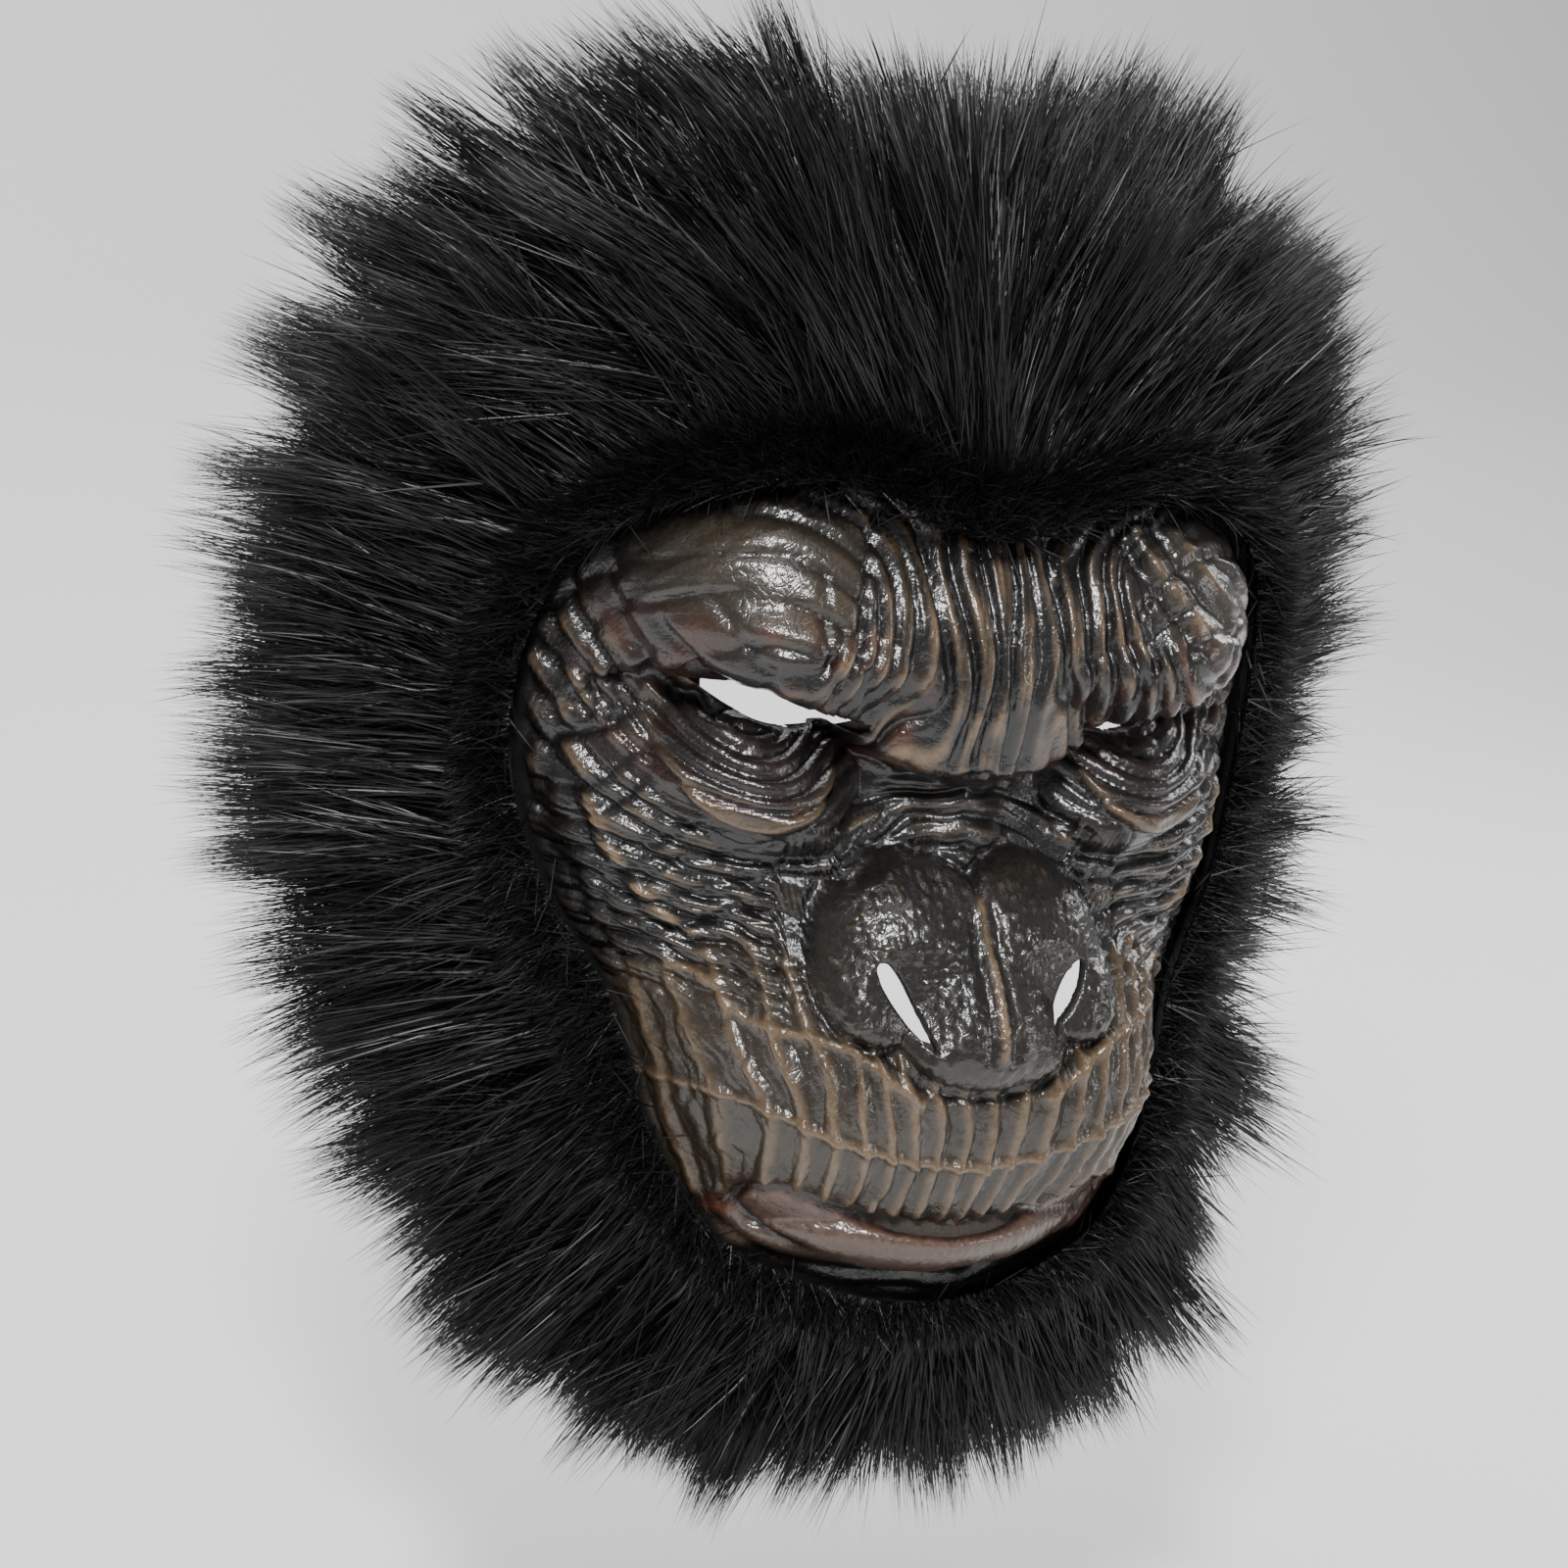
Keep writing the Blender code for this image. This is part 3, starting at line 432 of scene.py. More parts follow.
    # the nose: a groove round it, a ridge up its middle, pebbles on its lobes
    rise -= 1.3 * MM * np.exp(-(((pad - 1.10) / 0.055) ** 2)) * (z < 24 * MM)
    middle = ease((z + 22 * MM) / (4 * MM)) * ease((12 * MM - z) / (4 * MM))
    rise += middle * (0.9 * MM * np.exp(-((x / (1.1 * MM)) ** 2)) - 0.9 * MM * np.exp(-(((x - 2.9 * MM) / (1.3 * MM)) ** 2)))
    pebbles = pebble_heights(sx, z) * on_nose * ease((pad < 0.93) * 1.0)
    pebbles *= 1 - ease((8 * MM - np.hypot(x - 20 * MM, z + 11 * MM)) / (4 * MM))
    rise += 0.55 * MM * pebbles
    quiet = 1 - 0.75 * np.maximum(on_nose, 0.6 * ease((0.9 - brow) / 0.2))
    rise += quiet * (0.15 * MM * fine + 0.09 * MM * tiny)
    masks = {
        "muzzle": muzzle_mask, "nose": on_nose, "lip": lip_mask, "brow": ease((1.15 - brow) / 0.5) * above,
        "eye": ease((1.9 - eye) / 0.5), "bag": bag_mask * ease((1.5 - eye) / 0.25), "rim": rim / (1.7 * MM), "pebble": pebbles, "crossing": crossing * muzzle_mask,
        "upright": uprights * muzzle_mask, "side": side_mask, "mouth": np.exp(-((mouth_distance / (2.2 * MM)) ** 2)),
        "septum": middle * np.exp(-((x / (0.9 * MM)) ** 2)), "warp": warp, "fine": fine,
    }
    fade = ease((1 - radius) / 0.012)
    return rise * fade, masks


def pebble_heights(x, z):
    """Round grains on a jittered grid: for each place, the tallest of the nine nearest grains."""
    pitch = 2.3 * MM
    jitter = np.random.default_rng(11).uniform(-0.32, 0.32, (64, 64, 2))
    size = np.random.default_rng(12).uniform(0.18, 0.40, (64, 64))
    i, j = np.floor(x / pitch).astype(int), np.floor(z / pitch).astype(int)
    best = np.zeros(x.shape)
    for di in (-1, 0, 1):
        for dj in (-1, 0, 1):
            a, b = (i + di) % 64, (j + dj) % 64
            cx = (i + di + 0.5 + jitter[a, b, 0]) * pitch
            cz = (j + dj + 0.5 + jitter[a, b, 1]) * pitch
            reach = size[a, b] * pitch
            best = np.maximum(best, np.sqrt(np.clip(1 - ((x - cx) ** 2 + (z - cz) ** 2) / reach**2, 0, None)) * reach / pitch * 2.5)
    return best


def disc_grid(cells):
    u = np.linspace(-1, 1, cells + 1)
    u = 0.8 * u + 0.2 * u**3
    a, b = np.meshgrid(u, u, indexing="ij")
    p, q = a * np.sqrt(1 - b * b / 2), b * np.sqrt(1 - a * a / 2)
    index = np.arange((cells + 1) ** 2).reshape(cells + 1, cells + 1)
    quads = np.stack([index[:-1, :-1], index[1:, :-1], index[1:, 1:], index[:-1, 1:]], axis=-1).reshape(-1, 4)
    ring = np.concatenate([index[:-1, 0], index[-1, :-1], index[:0:-1, -1], index[0, :0:-1]])
    return p.ravel(), q.ravel(), quads, ring


def vertex_normals(points, quads):
    corners = points[quads]
    face = np.cross(corners[:, 2] - corners[:, 0], corners[:, 3] - corners[:, 1])
    normals = np.zeros_like(points)
    for k in range(4):
        np.add.at(normals, quads[:, k], face)
    return unit(normals)


def soft_normals(points, quads, rounds=6):
    normals = vertex_normals(points, quads)
    for _ in range(rounds):
        total = np.zeros_like(normals)
        middle = normals[quads].sum(1)
        for k in range(4):
            np.add.at(total, quads[:, k], middle)
        normals = unit(total)
    return normals


def eye_slit_centre():
    table = np.array(BROW_EDGE)
    across = 0.475 * FACE_HALF_WIDTH
    edge = np.interp(across, table[:, 0] * FACE_HALF_WIDTH, table[:, 1] * FACE_TOP)
    return across, edge - 0.68 * EYE_SLIT_HEIGHT


def lens_outline(length, height, droop, steps=40):
    u = np.linspace(0, 1, steps)
    upper, lower = 0.34 * height * np.sin(math.pi * u), -0.66 * height * np.sin(math.pi * u)
    x = np.concatenate([u, u[-2:0:-1]]) - 0.5
    z = np.concatenate([upper, lower[-2:0:-1]])
    return np.stack([x * length, z + droop * x * length], axis=-1)


def slot_outline(length, width, turn, steps=40):
    u = np.linspace(0, 1, steps)
    half = 0.5 * width * np.sin(math.pi * u**0.62) ** 0.8
    z = 0.5 * length - u * length
    x = np.concatenate([half, -half[-2:0:-1]])
    z = np.concatenate([z, z[-2:0:-1]])
    a = math.radians(turn)
    return np.stack([x * math.cos(a) + z * math.sin(a), z * math.cos(a) - x * math.sin(a)], axis=-1)


def openings():
    """The outlines of the openings on the +X side, in face places."""
    nostril = np.array([NOSTRIL_HOLLOW[0] * FACE_HALF_WIDTH, float(height_of(NOSTRIL_HOLLOW[1]))])
    eye = lens_outline(EYE_SLIT_LENGTH, EYE_SLIT_HEIGHT, 0.16) + np.array(eye_slit_centre())
    return [eye, slot_outline(NOSTRIL_LENGTH, NOSTRIL_WIDTH, 32) + nostril]


def outline_distance(x, z, outline):
    """Signed distance to a closed outline, below zero inside, and the nearest point on it."""
    start, end = outline, np.roll(outline, -1, axis=0)
    best = np.full(x.shape, 1e9)
    near = np.zeros(x.shape + (2,))
    inside = np.zeros(x.shape, bool)
    for (ax, az), (bx, bz) in zip(start, end):
        f = np.clip(((x - ax) * (bx - ax) + (z - az) * (bz - az)) / ((bx - ax) ** 2 + (bz - az) ** 2 + 1e-18), 0, 1)
        nx, nz = ax + f * (bx - ax), az + f * (bz - az)
        distance = np.hypot(x - nx, z - nz)
        nearer = distance < best
        best = np.where(nearer, distance, best)
        near[nearer] = np.stack([nx, nz], axis=-1)[nearer]
        crosses = (az > z) != (bz > z)
        inside ^= crosses & (x < (bx - ax) * (z - az) / np.where(abs(bz - az) < 1e-15, 1e-15, bz - az) + ax)
    return np.where(inside, -best, best), near


def cut_openings(points, quads):
    """Takes the quads inside each opening away and draws the cut edge onto its outline.

    Returns the points, the quads left and the cut edges, in the quads' own order."""
    keep = np.ones(len(quads), bool)
    x, z = np.abs(points[:, 0]), points[:, 2]
    moves = []
    for outline in openings():
        low, high = outline.min(0) - 3 * MM, outline.max(0) + 3 * MM
        zone = np.flatnonzero((x > low[0]) & (x < high[0]) & (z > low[1]) & (z < high[1]))
        distance = np.full(len(points), 1.0)
        near = np.zeros((len(points), 2))
        distance[zone], near[zone] = outline_distance(x[zone], z[zone], outline)
        keep &= ~(distance[quads].mean(1) < 0)
        moves.append((distance, near))
    edges = np.concatenate([quads[keep][:, [k, (k + 1) % 4]] for k in range(4)])
    gone = np.concatenate([quads[~keep][:, [k, (k + 1) % 4]] for k in range(4)])
    count = len(points)
    cut = edges[np.isin(edges[:, 0] * count + edges[:, 1], gone[:, 1] * count + gone[:, 0])]
    on_edge = np.unique(cut)
    for distance, near in moves:
        there = on_edge[distance[on_edge] < 0.9]
        points[there, 0] = np.sign(points[there, 0]) * near[there, 0]
        points[there, 2] = near[there, 1]
    return points, quads[keep], cut


def face_surface(cells, rings, detailed):
    """One sheet of the latex, with its flange: points, quads, outer ring and masks."""
    p, q, quads, ring = disc_grid(cells)
    points, x, z, radius = face_point(p, q)
    masks = None
    if detailed:
        rise, masks = detail(points[:, 0], x, z, radius)
        points = points + soft_normals(points, quads, 3) * rise[:, None]
    t = np.arctan2(np.abs(p[ring]), q[ring]) / math.pi
    side = np.where(np.abs(p[ring]) < 1e-9, 0.0, np.sign(p[ring]))
    width = np.linalg.norm(band_point(t, np.ones_like(t)) - band_point(t, np.zeros_like(t)), axis=-1)
    all_points, inner, count = [points], ring, len(p)
    for k in range(1, rings + 1):
        loop = band_point(t, k / rings * FLANGE_WIDTH / width)
        loop[:, 0] *= side
        all_points.append(loop)
        outer = np.arange(count, count + len(ring))
        quads = np.concatenate([quads, np.stack([inner, outer, np.roll(outer, -1), np.roll(inner, -1)], axis=-1)])
        inner, count = outer, count + len(ring)
    return np.concatenate(all_points), quads, inner, masks, len(p)


def new_mesh(name, points, faces, finish, smooth=True):
    """A mesh piece from face-frame points and an array of quads or triangles."""
    mesh = bpy.data.meshes.new(name)
    points = (points - seat()).astype(np.float32)
    sizes = [len(f) for f in faces] if isinstance(faces, list) else None
    flat = np.concatenate([np.ravel(f) for f in faces]) if sizes is not None else faces.ravel()
    widths = np.concatenate([np.full(len(f), f.shape[1]) for f in faces]) if sizes is not None else None
    if widths is None:
        widths = np.full(len(faces), faces.shape[1])
    mesh.vertices.add(len(points))
    mesh.vertices.foreach_set("co", points.ravel())
    mesh.loops.add(len(flat))
    mesh.loops.foreach_set("vertex_index", flat.astype(np.int32))
    mesh.polygons.add(len(widths))
    starts = np.concatenate([[0], np.cumsum(widths)[:-1]]).astype(np.int32)
    mesh.polygons.foreach_set("loop_start", starts)
    mesh.polygons.foreach_set("loop_total", widths.astype(np.int32))
    mesh.update(calc_edges=True)
    if smooth:
        mesh.shade_smooth()
    mesh.materials.append(finish)
    made = bpy.data.objects.new(name, mesh)
    bpy.context.scene.collection.objects.link(made)
    return made


def paint_colours(points, masks, rise_share):
    """The colour at each place: a dark ground, drybrushed bronze on what stands out with painted highlights on the
    crests, red-brown at the eyes and lips, and painted shade in the valleys and hollows.
    """
    n = len(rise_share)
    ground = np.tile([0.0065, 0.0058, 0.0052], (n, 1))
    bronze = np.array([0.125, 0.084, 0.050])
    olive = np.array([0.042, 0.033, 0.022])
    tan = np.array([0.26, 0.165, 0.088])
    red = np.array([0.085, 0.022, 0.010])
    warp, fine = masks["warp"], masks["fine"]

    def lay(colour, amount):
        nonlocal ground
        amount = np.clip(amount, 0, 1)[:, None]
        ground = ground * (1 - amount) + colour * amount

    patch = 0.5 + 0.5 * warp
    lay(olive, 0.75 * masks["brow"] * (0.5 + 0.5 * patch))
    lay(olive * 0.7, 0.85 * masks["muzzle"])
    lay(olive * 0.6, 0.45 * masks["nose"] * patch)
    lay(np.array([0.088, 0.056, 0.042]), 0.85 * masks["lip"])
    lay(bronze * 0.5, 0.50 * masks["muzzle"] * (0.2 + 0.8 * patch))
    lay(red, 0.45 * masks["eye"] * np.clip(0.15 + 0.8 * fine, 0, 1))
    lay(red * 1.8, 0.75 * masks["mouth"] * (0.6 + 0.4 * fine))
    # drybrushed bronze on the raised places, partly a painted highlight on them
    drybrush_and_highlight = ease((rise_share - 0.12) / 0.5)
    lay(bronze * 0.75, 0.80 * drybrush_and_highlight * (0.5 + 0.5 * patch) * (1 - 0.5 * masks["side"]) * (1 - 0.7 * masks["nose"]))
    # painted highlight: tan along the highest crests of the wrinkles
    crest_highlight = ease((rise_share - 0.42) / 0.3) * (1 - 0.8 * masks["nose"]) * (1 - 0.6 * masks["muzzle"])
    lay(tan * 0.80, 0.50 * crest_highlight * np.clip(0.25 + 0.9 * patch, 0, 1) * (1 - 0.6 * masks["side"]) * (1 - np.clip(masks["rim"] * 2, 0, 1)))
    lay(np.array([0.012, 0.009, 0.008]), 0.80 * masks["bag"])
    lay(tan * 0.8, 0.5 * np.clip(masks["rim"], 0, 1) ** 3 * np.clip(0.1 + patch, 0, 1))
    # painted highlight: tan along the crests of the muzzle's crossing and upright ridges
    lay(tan * 0.7, 0.42 * np.clip(masks["crossing"], 0, 1) ** 4)
    lay(tan * 0.7, 0.42 * np.clip(masks["upright"], 0, 1) ** 6 * (0.2 + 0.8 * patch))
    # painted shade: darker in the muzzle's valleys between its ridges
    valley_shade = masks["muzzle"] * (1 - np.clip(masks["upright"] * 2.2, 0, 1)) * (1 - np.clip(masks["crossing"] * 2, 0, 1))
    lay(np.array([0.012, 0.010, 0.009]), 0.55 * valley_shade * (0.5 + 0.5 * np.clip(0.5 - fine, 0, 1)))
    lay(tan, 0.8 * masks["septum"] * (0.5 + 0.5 * fine))
    lay(bronze, 0.4 * np.clip(masks["pebble"], 0, 1) ** 2 * (fine > 0.1))
    # painted shade: darker in the creases and hollows, where the surface lies below its large forms
    lay(np.array([0.006, 0.005, 0.005]), 0.85 * ease((-rise_share - 0.25) / 0.6))
    return ground


def principled(name, colour, roughness, **more):
    """A new material with its Principled shader's sockets set."""
    made = bpy.data.materials.new(name)
    made.use_nodes = True
    shader = made.node_tree.nodes["Principled BSDF"]
    shader.inputs["Base Color"].default_value = (*colour, 1)
    shader.inputs["Roughness"].default_value = roughness
    for key, value in more.items():
        shader.inputs[key.replace("_", " ")].default_value = value
    return made, made.node_tree, shader


def latex_material():
    """Latex under satin lacquer: colour from the paint attribute, which holds the drybrushed paint with painted
    highlights on the ridges and painted shade in the hollows; fine grain from noise.
    """
    made, tree, shader = principled("lacquered latex", (0.05, 0.04, 0.03), 0.33)
    shader.inputs["Specular IOR Level"].default_value = 0.30
    shader.inputs["Coat Roughness"].default_value = 0.085
    nodes, links = tree.nodes, tree.links
    paint = nodes.new("ShaderNodeAttribute")
    paint.attribute_name = "paint"
    where = nodes.new("ShaderNodeTexCoord")
    fine = nodes.new("ShaderNodeTexNoise")
    fine.inputs["Scale"].default_value = 900
    fine.inputs["Detail"].default_value = 4
    links.new(where.outputs["Object"], fine.inputs["Vector"])
    speck = nodes.new("ShaderNodeMapRange")
    speck.inputs["From Min"].default_value = 0.35
    speck.inputs["From Max"].default_value = 0.68
    speck.inputs["To Min"].default_value = 0.82
    speck.inputs["To Max"].default_value = 1.18
    links.new(fine.outputs["Fac"], speck.inputs["Value"])
    mix = nodes.new("ShaderNodeVectorMath")
    mix.operation = "SCALE"
    links.new(paint.outputs["Color"], mix.inputs[0])
    links.new(speck.outputs["Result"], mix.inputs["Scale"])
    links.new(mix.outputs["Vector"], shader.inputs["Base Color"])
    rough = nodes.new("ShaderNodeMapRange")
    rough.inputs["To Min"].default_value = 0.26
    rough.inputs["To Max"].default_value = 0.52
    links.new(fine.outputs["Fac"], rough.inputs["Value"])
    # the flange under the ruff has no lacquer: there the paint attribute's alpha is 0
    dull = nodes.new("ShaderNodeMath")
    dull.operation = "SUBTRACT"
    dull.inputs[0].default_value = 1.0
    links.new(paint.outputs["Alpha"], dull.inputs[1])
    sum_rough = nodes.new("ShaderNodeMath")
    sum_rough.operation = "ADD"
    links.new(rough.outputs["Result"], sum_rough.inputs[0])
    links.new(dull.outputs["Value"], sum_rough.inputs[1])
    links.new(sum_rough.outputs["Value"], shader.inputs["Roughness"])
    coat = nodes.new("ShaderNodeMath")
    coat.operation = "MULTIPLY"
    coat.inputs[1].default_value = 0.75
    links.new(paint.outputs["Alpha"], coat.inputs[0])
    links.new(coat.outputs["Value"], shader.inputs["Coat Weight"])
    bump = nodes.new("ShaderNodeBump")
    bump.inputs["Strength"].default_value = 0.4
    bump.inputs["Distance"].default_value = 0.0004
    links.new(fine.outputs["Fac"], bump.inputs["Height"])
    # leathery cracks about 3 mm apart
    cells = nodes.new("ShaderNodeTexVoronoi")
    cells.feature = "DISTANCE_TO_EDGE"
    cells.inputs["Scale"].default_value = 420
    links.new(where.outputs["Object"], cells.inputs["Vector"])
    crack = nodes.new("ShaderNodeMapRange")
    crack.inputs["From Max"].default_value = 0.10
    links.new(cells.outputs["Distance"], crack.inputs["Value"])
    cracks = nodes.new("ShaderNodeBump")
    cracks.inputs["Strength"].default_value = 0.13
    cracks.inputs["Distance"].default_value = 0.0005
    links.new(crack.outputs["Result"], cracks.inputs["Height"])
    links.new(bump.outputs["Normal"], cracks.inputs["Normal"])
    links.new(cracks.outputs["Normal"], shader.inputs["Normal"])
    links.new(cracks.outputs["Normal"], shader.inputs["Coat Normal"])
    return made


def make_face(finish):
    """The latex: a finely modelled outside, a plainer inside, a wall round its edge and round each opening."""
    points, quads, ring, masks, discs = face_surface(FACE_CELLS, FLANGE_RINGS, True)
    base, _, _, _ = face_point(*disc_grid(FACE_CELLS)[:2])
    rise_share = (base[:, 1] - points[:discs, 1]) / (1.2 * MM)
    normals = soft_normals(points, quads, 3)
    points, quads, cut = cut_openings(points, quads)
    inner_points, inner_quads, inner_ring, _, _ = face_surface(INSIDE_CELLS, 1, False)
    inner_points = inner_points - soft_normals(inner_points, inner_quads) * LATEX_WALL
    inner_points, inner_quads, _ = cut_openings(inner_points, inner_quads)
    # walls: the flange's edge, and each cut edge carried back through the wall
    count = len(points)
    deep = points[cut].copy()
    deep[:, :, 1] += LATEX_WALL * 1.25
    walls = np.stack([cut[:, 1], cut[:, 0], count + 2 * np.arange(len(cut)), count + 2 * np.arange(len(cut)) + 1], axis=-1)
    count_2 = count + 2 * len(cut)
    edge = points[ring] - normals[ring] * LATEX_WALL
    rim = np.arange(len(ring))
    edge_walls = np.stack([ring, count_2 + rim, count_2 + np.roll(rim, -1), np.roll(ring, -1)], axis=-1)
    count_3 = count_2 + len(ring)
    everything = np.concatenate([points, deep.reshape(-1, 3), edge, inner_points])
    faces = np.concatenate([quads, walls, edge_walls, inner_quads[:, ::-1] + count_3])
    made = new_mesh("latex_face", everything, faces, finish)
    colours = np.tile([0.004, 0.004, 0.004, 0.0], (len(everything), 1))
    colours[-len(inner_points):, :3] = 0.045, 0.038, 0.032
    colours[:discs, :3] = paint_colours(points[:discs], masks, rise_share)
    colours[:discs, 3] = ease((1 - np.hypot(*disc_grid(FACE_CELLS)[:2])) / 0.02)
    colours[:discs, :3] *= 0.3 + 0.7 * colours[:discs, 3:]
    layer = made.data.color_attributes.new("paint", "FLOAT_COLOR", "POINT")
    layer.data.foreach_set("color", colours.astype(np.float32).ravel())
    return made


def strand_mesh(name, roots, ways, lengths, widths, bends, normals, chance, finish, side):
    """Fibres as thin ribbons: root, two middles and a tip along a bent line, turned at random about it.

    Each is root + way * length * f + bend * f^2, as wide as its width at the root and tapering to a point."""
    n = len(roots)
    turn = chance.uniform(0, math.pi, n)[:, None]
    across = unit(np.cross(ways, normals))
    other = np.cross(ways, across)
    flat = across * np.cos(turn) + other * np.sin(turn)
    rows = []
    for f, w in ((0.0, 1.0), (0.45, 0.9), (0.78, 0.55)):
        middle = roots + ways * lengths * f + bends * f * f
        rows += [middle - flat * widths * w / 2, middle + flat * widths * w / 2]
    rows.append(roots + ways * lengths + bends)
    points = np.stack(rows, axis=1)
    points[..., 0] = points[..., 0] * side
    base = np.arange(n)[:, None] * 7
    quads = np.concatenate([base + [0, 1, 3, 2], base + [2, 3, 5, 4]])
    tips = base + [4, 5, 6]
    made = new_mesh(name, points.reshape(-1, 3), [quads, tips], finish)
    return made


def fur_roots(count, chance, low=0.0, high=1.0, power=1.0):
    """Seeded places t, s on the ruff, evenly spread over its area round the face."""
    t = np.linspace(0, 1, 400)
    step = np.linalg.norm(seam_point(t[1:]) - seam_point(t[:-1]), axis=-1)
    way = np.concatenate([[0], np.cumsum(step * (1.15 - 0.25 * t[1:]))])
    t_root = np.interp(chance.uniform(0, way[-1], count), way, t)
    s_root = low + (high - low) * chance.uniform(0, 1, count) ** power
    return t_root, s_root


def lock_noise(t, s, seed, scale_t, scale_s):
    return value_noise(t * scale_t, s * scale_s, 1.0, seed)


def make_fur(name, side, seed, count, length_share, width, finish, spread, low=0.0, high=1.0, clump=0.0, stand=0.0):
    """Fibres over one side of the ruff, drawn together in locks."""
    chance = np.random.default_rng(seed)
    t, s = fur_roots(count, chance, low, high)
    base = FIT_GAP * 2 + BACKING_WALL + ROOT_LAYER * 0.6
    normals = band_normal(t, s)
    roots = band_point(t, s) + normals * base
    roots[:, 0] = np.maximum(roots[:, 0], 0.0)
    ways = comb(t, s)
    # locks: fibres lean towards the middle of the lock that they belong to
    lock_t = (np.floor(t * 34) + 0.5) / 34
    lock_s = (np.floor(s * 6) + 0.5) / 6
    lock_chance = np.random.default_rng(seed + 50).normal(0, 1, (64, 16, 3))
    li, lj = np.floor(t * 34).astype(int) % 64, np.floor(s * 6).astype(int) % 16
    lean = lock_chance[li, lj]
    middle = band_point(lock_t, lock_s) + band_normal(lock_t, lock_s) * base
    pull = (middle - roots) * clump * chance.uniform(0.5, 1.15, (count, 1))
    jitter = chance.normal(0, 1, (count, 3)) * spread
    stray = (chance.uniform(0, 1, count) < 0.05)[:, None]
    jitter = np.where(stray, jitter * 2.4, jitter)
    # by the middle seams the fibres of both sides cross
    jitter[:, 0] -= 0.30 * chance.uniform(0, 1, count) * ease(1 - roots[:, 0] / (9 * MM))
    ways = unit(ways * (1 - stand) + normals * stand + 0.17 * lean * (clump > 0) + jitter)
    pile = seam_value("pile", t)
    grow = 0.50 + 0.50 * ease(s / 0.20)
    lengths = PILE_LENGTH * pile * length_share * grow * (1.08 - 0.42 * chance.uniform(0, 1, count) ** 1.6)
    lengths = (lengths * (1 + 0.10 * np.clip(lean[:, 0], -1.5, 0.9)))[:, None] * np.where(stray, 1.04, 1.0)
    bends = pull - normals * lengths * 0.10 * chance.uniform(0, 1, (count, 1))
    bends[:, 2] -= lengths[:, 0] * 0.07
    widths = width * chance.uniform(0.7, 1.3, (count, 1))
    return strand_mesh(name, roots, ways, lengths, widths, bends, normals, chance, finish, side)


def make_root_layer(name, side, finish):
    """The dense root layer: the ruff's surface raised by the layer's thickness, with its edges."""
    t, s = np.meshgrid(np.linspace(0, 1, 141), np.linspace(0, 1, 21), indexing="ij")
    index = np.arange(t.size).reshape(t.shape)
    quads = np.stack([index[:-1, :-1], index[1:, :-1], index[1:, 1:], index[:-1, 1:]], axis=-1).reshape(-1, 4)
    t, s = t.ravel(), s.ravel()
    base = FIT_GAP * 2 + BACKING_WALL
    layers = []
    for offset in (base + ROOT_LAYER, base):
        layer = band_point(t, s) + band_normal(t, s) * offset
        layer[:, 0] = np.maximum(layer[:, 0], SEAM_GAP / 4)
        layers.append(layer)
    n = len(t)
    ring = np.concatenate([index[:-1, 0], index[-1, :-1], index[:0:-1, -1], index[0, :0:-1]])
    nxt = np.roll(ring, -1)
    walls = np.stack([nxt, ring, ring + n, nxt + n], axis=-1)
    faces = np.concatenate([quads, quads[:, ::-1] + n, walls])
    points = np.concatenate(layers)
    if side < 0:
        points, faces = points * [-1, 1, 1], faces[:, ::-1]
    return new_mesh(name, points, faces, finish)


def fur_material(name, colour, roughness):
    """Black acrylic fibre: glossy."""
    made, tree, shader = principled(name, colour, roughness)
    shader.inputs["Specular IOR Level"].default_value = 0.36
    shader.inputs["Sheen Weight"].default_value = 0.0
    return made


def cloth_material(name, colour, scale, depth):
    """Matte cloth with a fine weave from two crossed waves."""
    made, tree, shader = principled(name, colour, 0.92)
    nodes, links = tree.nodes, tree.links
    where = nodes.new("ShaderNodeTexCoord")
    waves = []
    for way in ("X", "Z"):
        wave = nodes.new("ShaderNodeTexWave")
        wave.bands_direction = way
        wave.inputs["Scale"].default_value = scale
        wave.inputs["Distortion"].default_value = 0.6
        links.new(where.outputs["Object"], wave.inputs["Vector"])
        waves.append(wave)
    both = nodes.new("ShaderNodeMath")
    both.operation = "MULTIPLY"
    links.new(waves[0].outputs["Fac"], both.inputs[0])
    links.new(waves[1].outputs["Fac"], both.inputs[1])
    bump = nodes.new("ShaderNodeBump")
    bump.inputs["Strength"].default_value = 0.6
    bump.inputs["Distance"].default_value = depth
    links.new(both.outputs["Value"], bump.inputs["Height"])
    links.new(bump.outputs["Normal"], shader.inputs["Normal"])
    shader.inputs["Specular IOR Level"].default_value = 0.15
    return made


def set_material(obj, made):
    obj.data.materials.clear()
    obj.data.materials.append(made)


def make_camera():
    """The camera as solved from the photo: azimuth, elevation and roll about the nose root, then a shift."""
    azimuth, elevation, roll = (math.radians(v) for v in (-24.4, 15.0, 6.9))
    distance, across, up_by, focal, photo = 767.6 * MM, 33.8 * MM, -29.5 * MM, 3400, 1600
    back = np.array([math.sin(azimuth) * math.cos(elevation), -math.cos(azimuth) * math.cos(elevation), math.sin(elevation)])
    right = np.array([math.cos(azimuth), math.sin(azimuth), 0])
    up = np.cross(back, right)
    right, up = math.cos(roll) * right + math.sin(roll) * up, math.cos(roll) * up - math.sin(roll) * right
    place = distance * back - across * right - up_by * up - seat()
    camera = bpy.data.objects.new("camera", bpy.data.cameras.new("camera"))
    bpy.context.scene.collection.objects.link(camera)
    camera.matrix_world = Matrix([[right[k], up[k], back[k], place[k]] for k in range(3)] + [[0, 0, 0, 1]])
    camera.data.sensor_width = 36
    camera.data.lens = focal / photo * 36
    camera.data.clip_start = 0.01
    bpy.context.scene.camera = camera


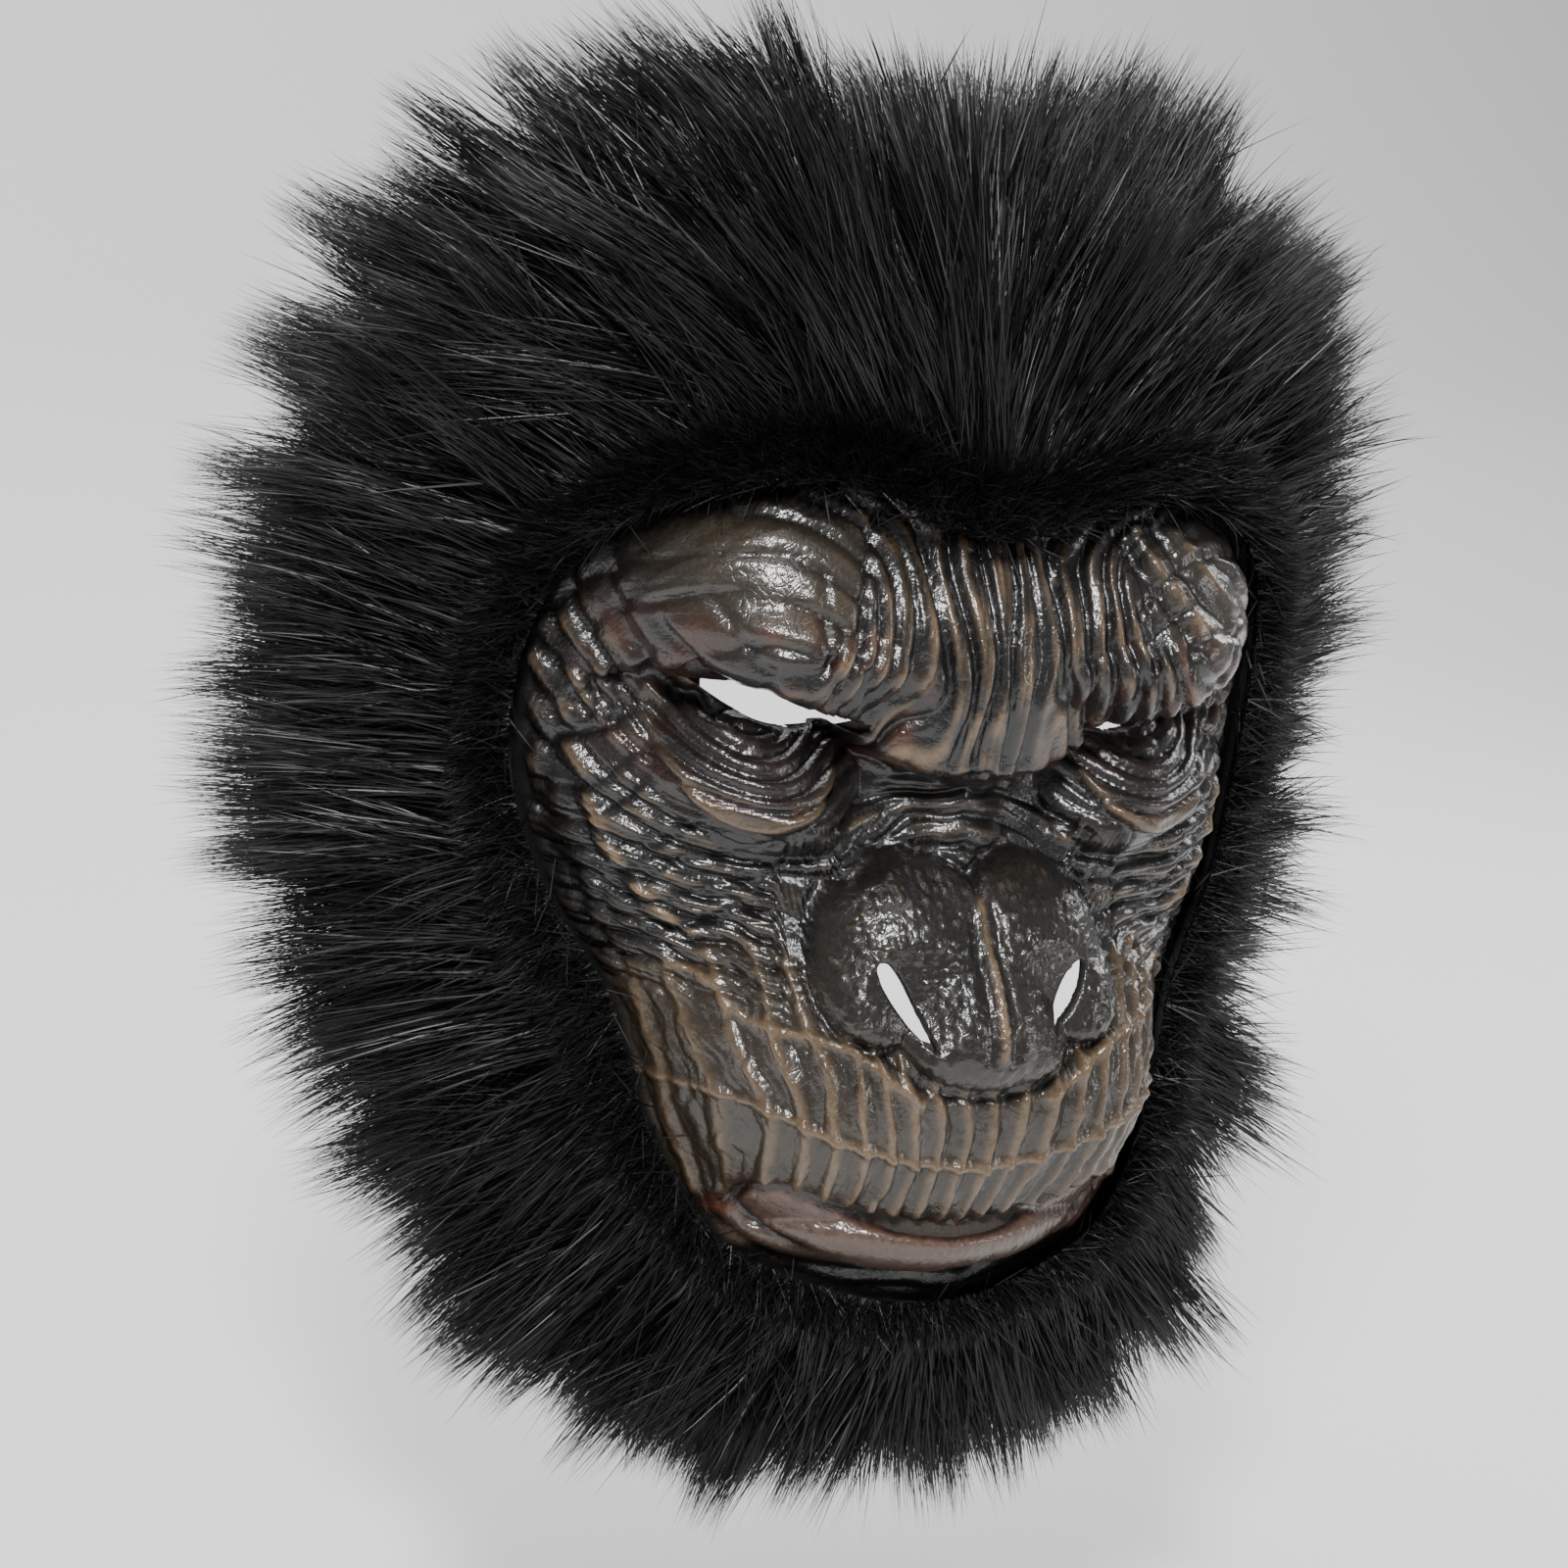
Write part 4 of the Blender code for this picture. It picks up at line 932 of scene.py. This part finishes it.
def area_light(name, place, target, size, power, colour=(1, 1, 1)):
    data = bpy.data.lights.new(name, "AREA")
    data.size = size
    data.energy = power
    data.color = colour
    made = bpy.data.objects.new(name, data)
    bpy.context.scene.collection.objects.link(made)
    place, target = np.array(place, float), np.array(target, float)
    back = unit(place - target)
    right = unit(np.cross([0, 0, 1], back))
    up = np.cross(back, right)
    made.matrix_world = Matrix([[right[k], up[k], back[k], place[k]] for k in range(3)] + [[0, 0, 0, 1]])
    return made


def make_studio():
    """A pale sweep behind and below the mask, and soft lights."""
    finish, _, _ = principled("studio floor", (0.78, 0.78, 0.775), 0.9)
    wide, far, low, high, bend = 7.0, 4.2, -0.32, 5.0, 1.8
    u = np.linspace(0, 1, 25)
    y = np.concatenate([[-7.0], far - bend + bend * np.sin(u * math.pi / 2), [far]])
    z = np.concatenate([[low], low + bend - bend * np.cos(u * math.pi / 2), [high]])
    points = np.concatenate([np.stack([np.full_like(y, x), y, z], axis=-1) for x in (-wide, wide)])
    n = len(y)
    k = np.arange(n - 1)
    quads = np.stack([k, k + n, k + n + 1, k + 1], axis=-1)
    floor = new_mesh("studio_floor", points + seat(), quads, finish)
    centre = (0, 0, -0.06)
    area_light("key", (-0.55, -0.85, 0.95), centre, 0.26, 28)
    area_light("fill", (1.1, -1.0, 0.25), centre, 0.5, 5)
    area_light("top", (-0.1, 0.25, 1.2), centre, 0.8, 9)
    area_light("rim", (1.0, 0.55, 0.45), centre, 0.5, 6)
    area_light("backdrop", (0, 1.5, 2.7), (0, 3.4, 0.2), 2.2, 125)
    world = bpy.data.worlds.new("studio")
    bpy.context.scene.world = world
    world.use_nodes = True
    tree = world.node_tree
    shade = tree.nodes.get("Background") or tree.nodes.new("ShaderNodeBackground")
    out = tree.nodes.get("World Output") or tree.nodes.new("ShaderNodeOutputWorld")
    tree.links.new(shade.outputs["Background"], out.inputs["Surface"])
    shade.inputs["Color"].default_value = (0.80, 0.82, 0.85, 1)
    shade.inputs["Strength"].default_value = 0.36


def main():
    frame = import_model()
    latex = latex_material()
    pile = fur_material("black pile", (0.0045, 0.0046, 0.0054), 0.38)
    under = fur_material("black under pile", (0.0025, 0.0025, 0.003), 0.5)
    roots = fur_material("pile roots", (0.0025, 0.0025, 0.003), 0.9)
    knit = cloth_material("black knit", (0.004, 0.004, 0.0045), 420, 0.0004)
    elastic = cloth_material("ribbed elastic", (0.012, 0.012, 0.014), 300, 0.0005)
    face = make_face(latex)
    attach(face, "root")
    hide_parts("face")
    for number, (word, side) in enumerate((("right", -1), ("left", 1))):
        base = make_root_layer("pile_roots_" + word, side, roots)
        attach(base, "root")
        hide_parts("fur_" + word)
        layers = (
            make_fur("long_pile_" + word, side, 20 + number, STRANDS, 0.96, 0.38 * MM, pile, 0.065, clump=0.75),
            make_fur("under_pile_" + word, side, 30 + number, UNDER_STRANDS, 0.72, 0.5 * MM, under, 0.12, clump=0.2),
            make_fur("edge_pile_" + word, side, 40 + number, EDGE_STRANDS, 0.44, 0.35 * MM, under, 0.32, -0.085, 0.06, stand=0.55),
        )
        for layer in layers:
            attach(layer, "root")
    set_material(frame["nodes"]["backing_right"], knit)
    set_material(frame["nodes"]["backing_left"], knit)
    set_material(frame["nodes"]["head_strap"], elastic)
    make_studio()
    make_camera()


main()
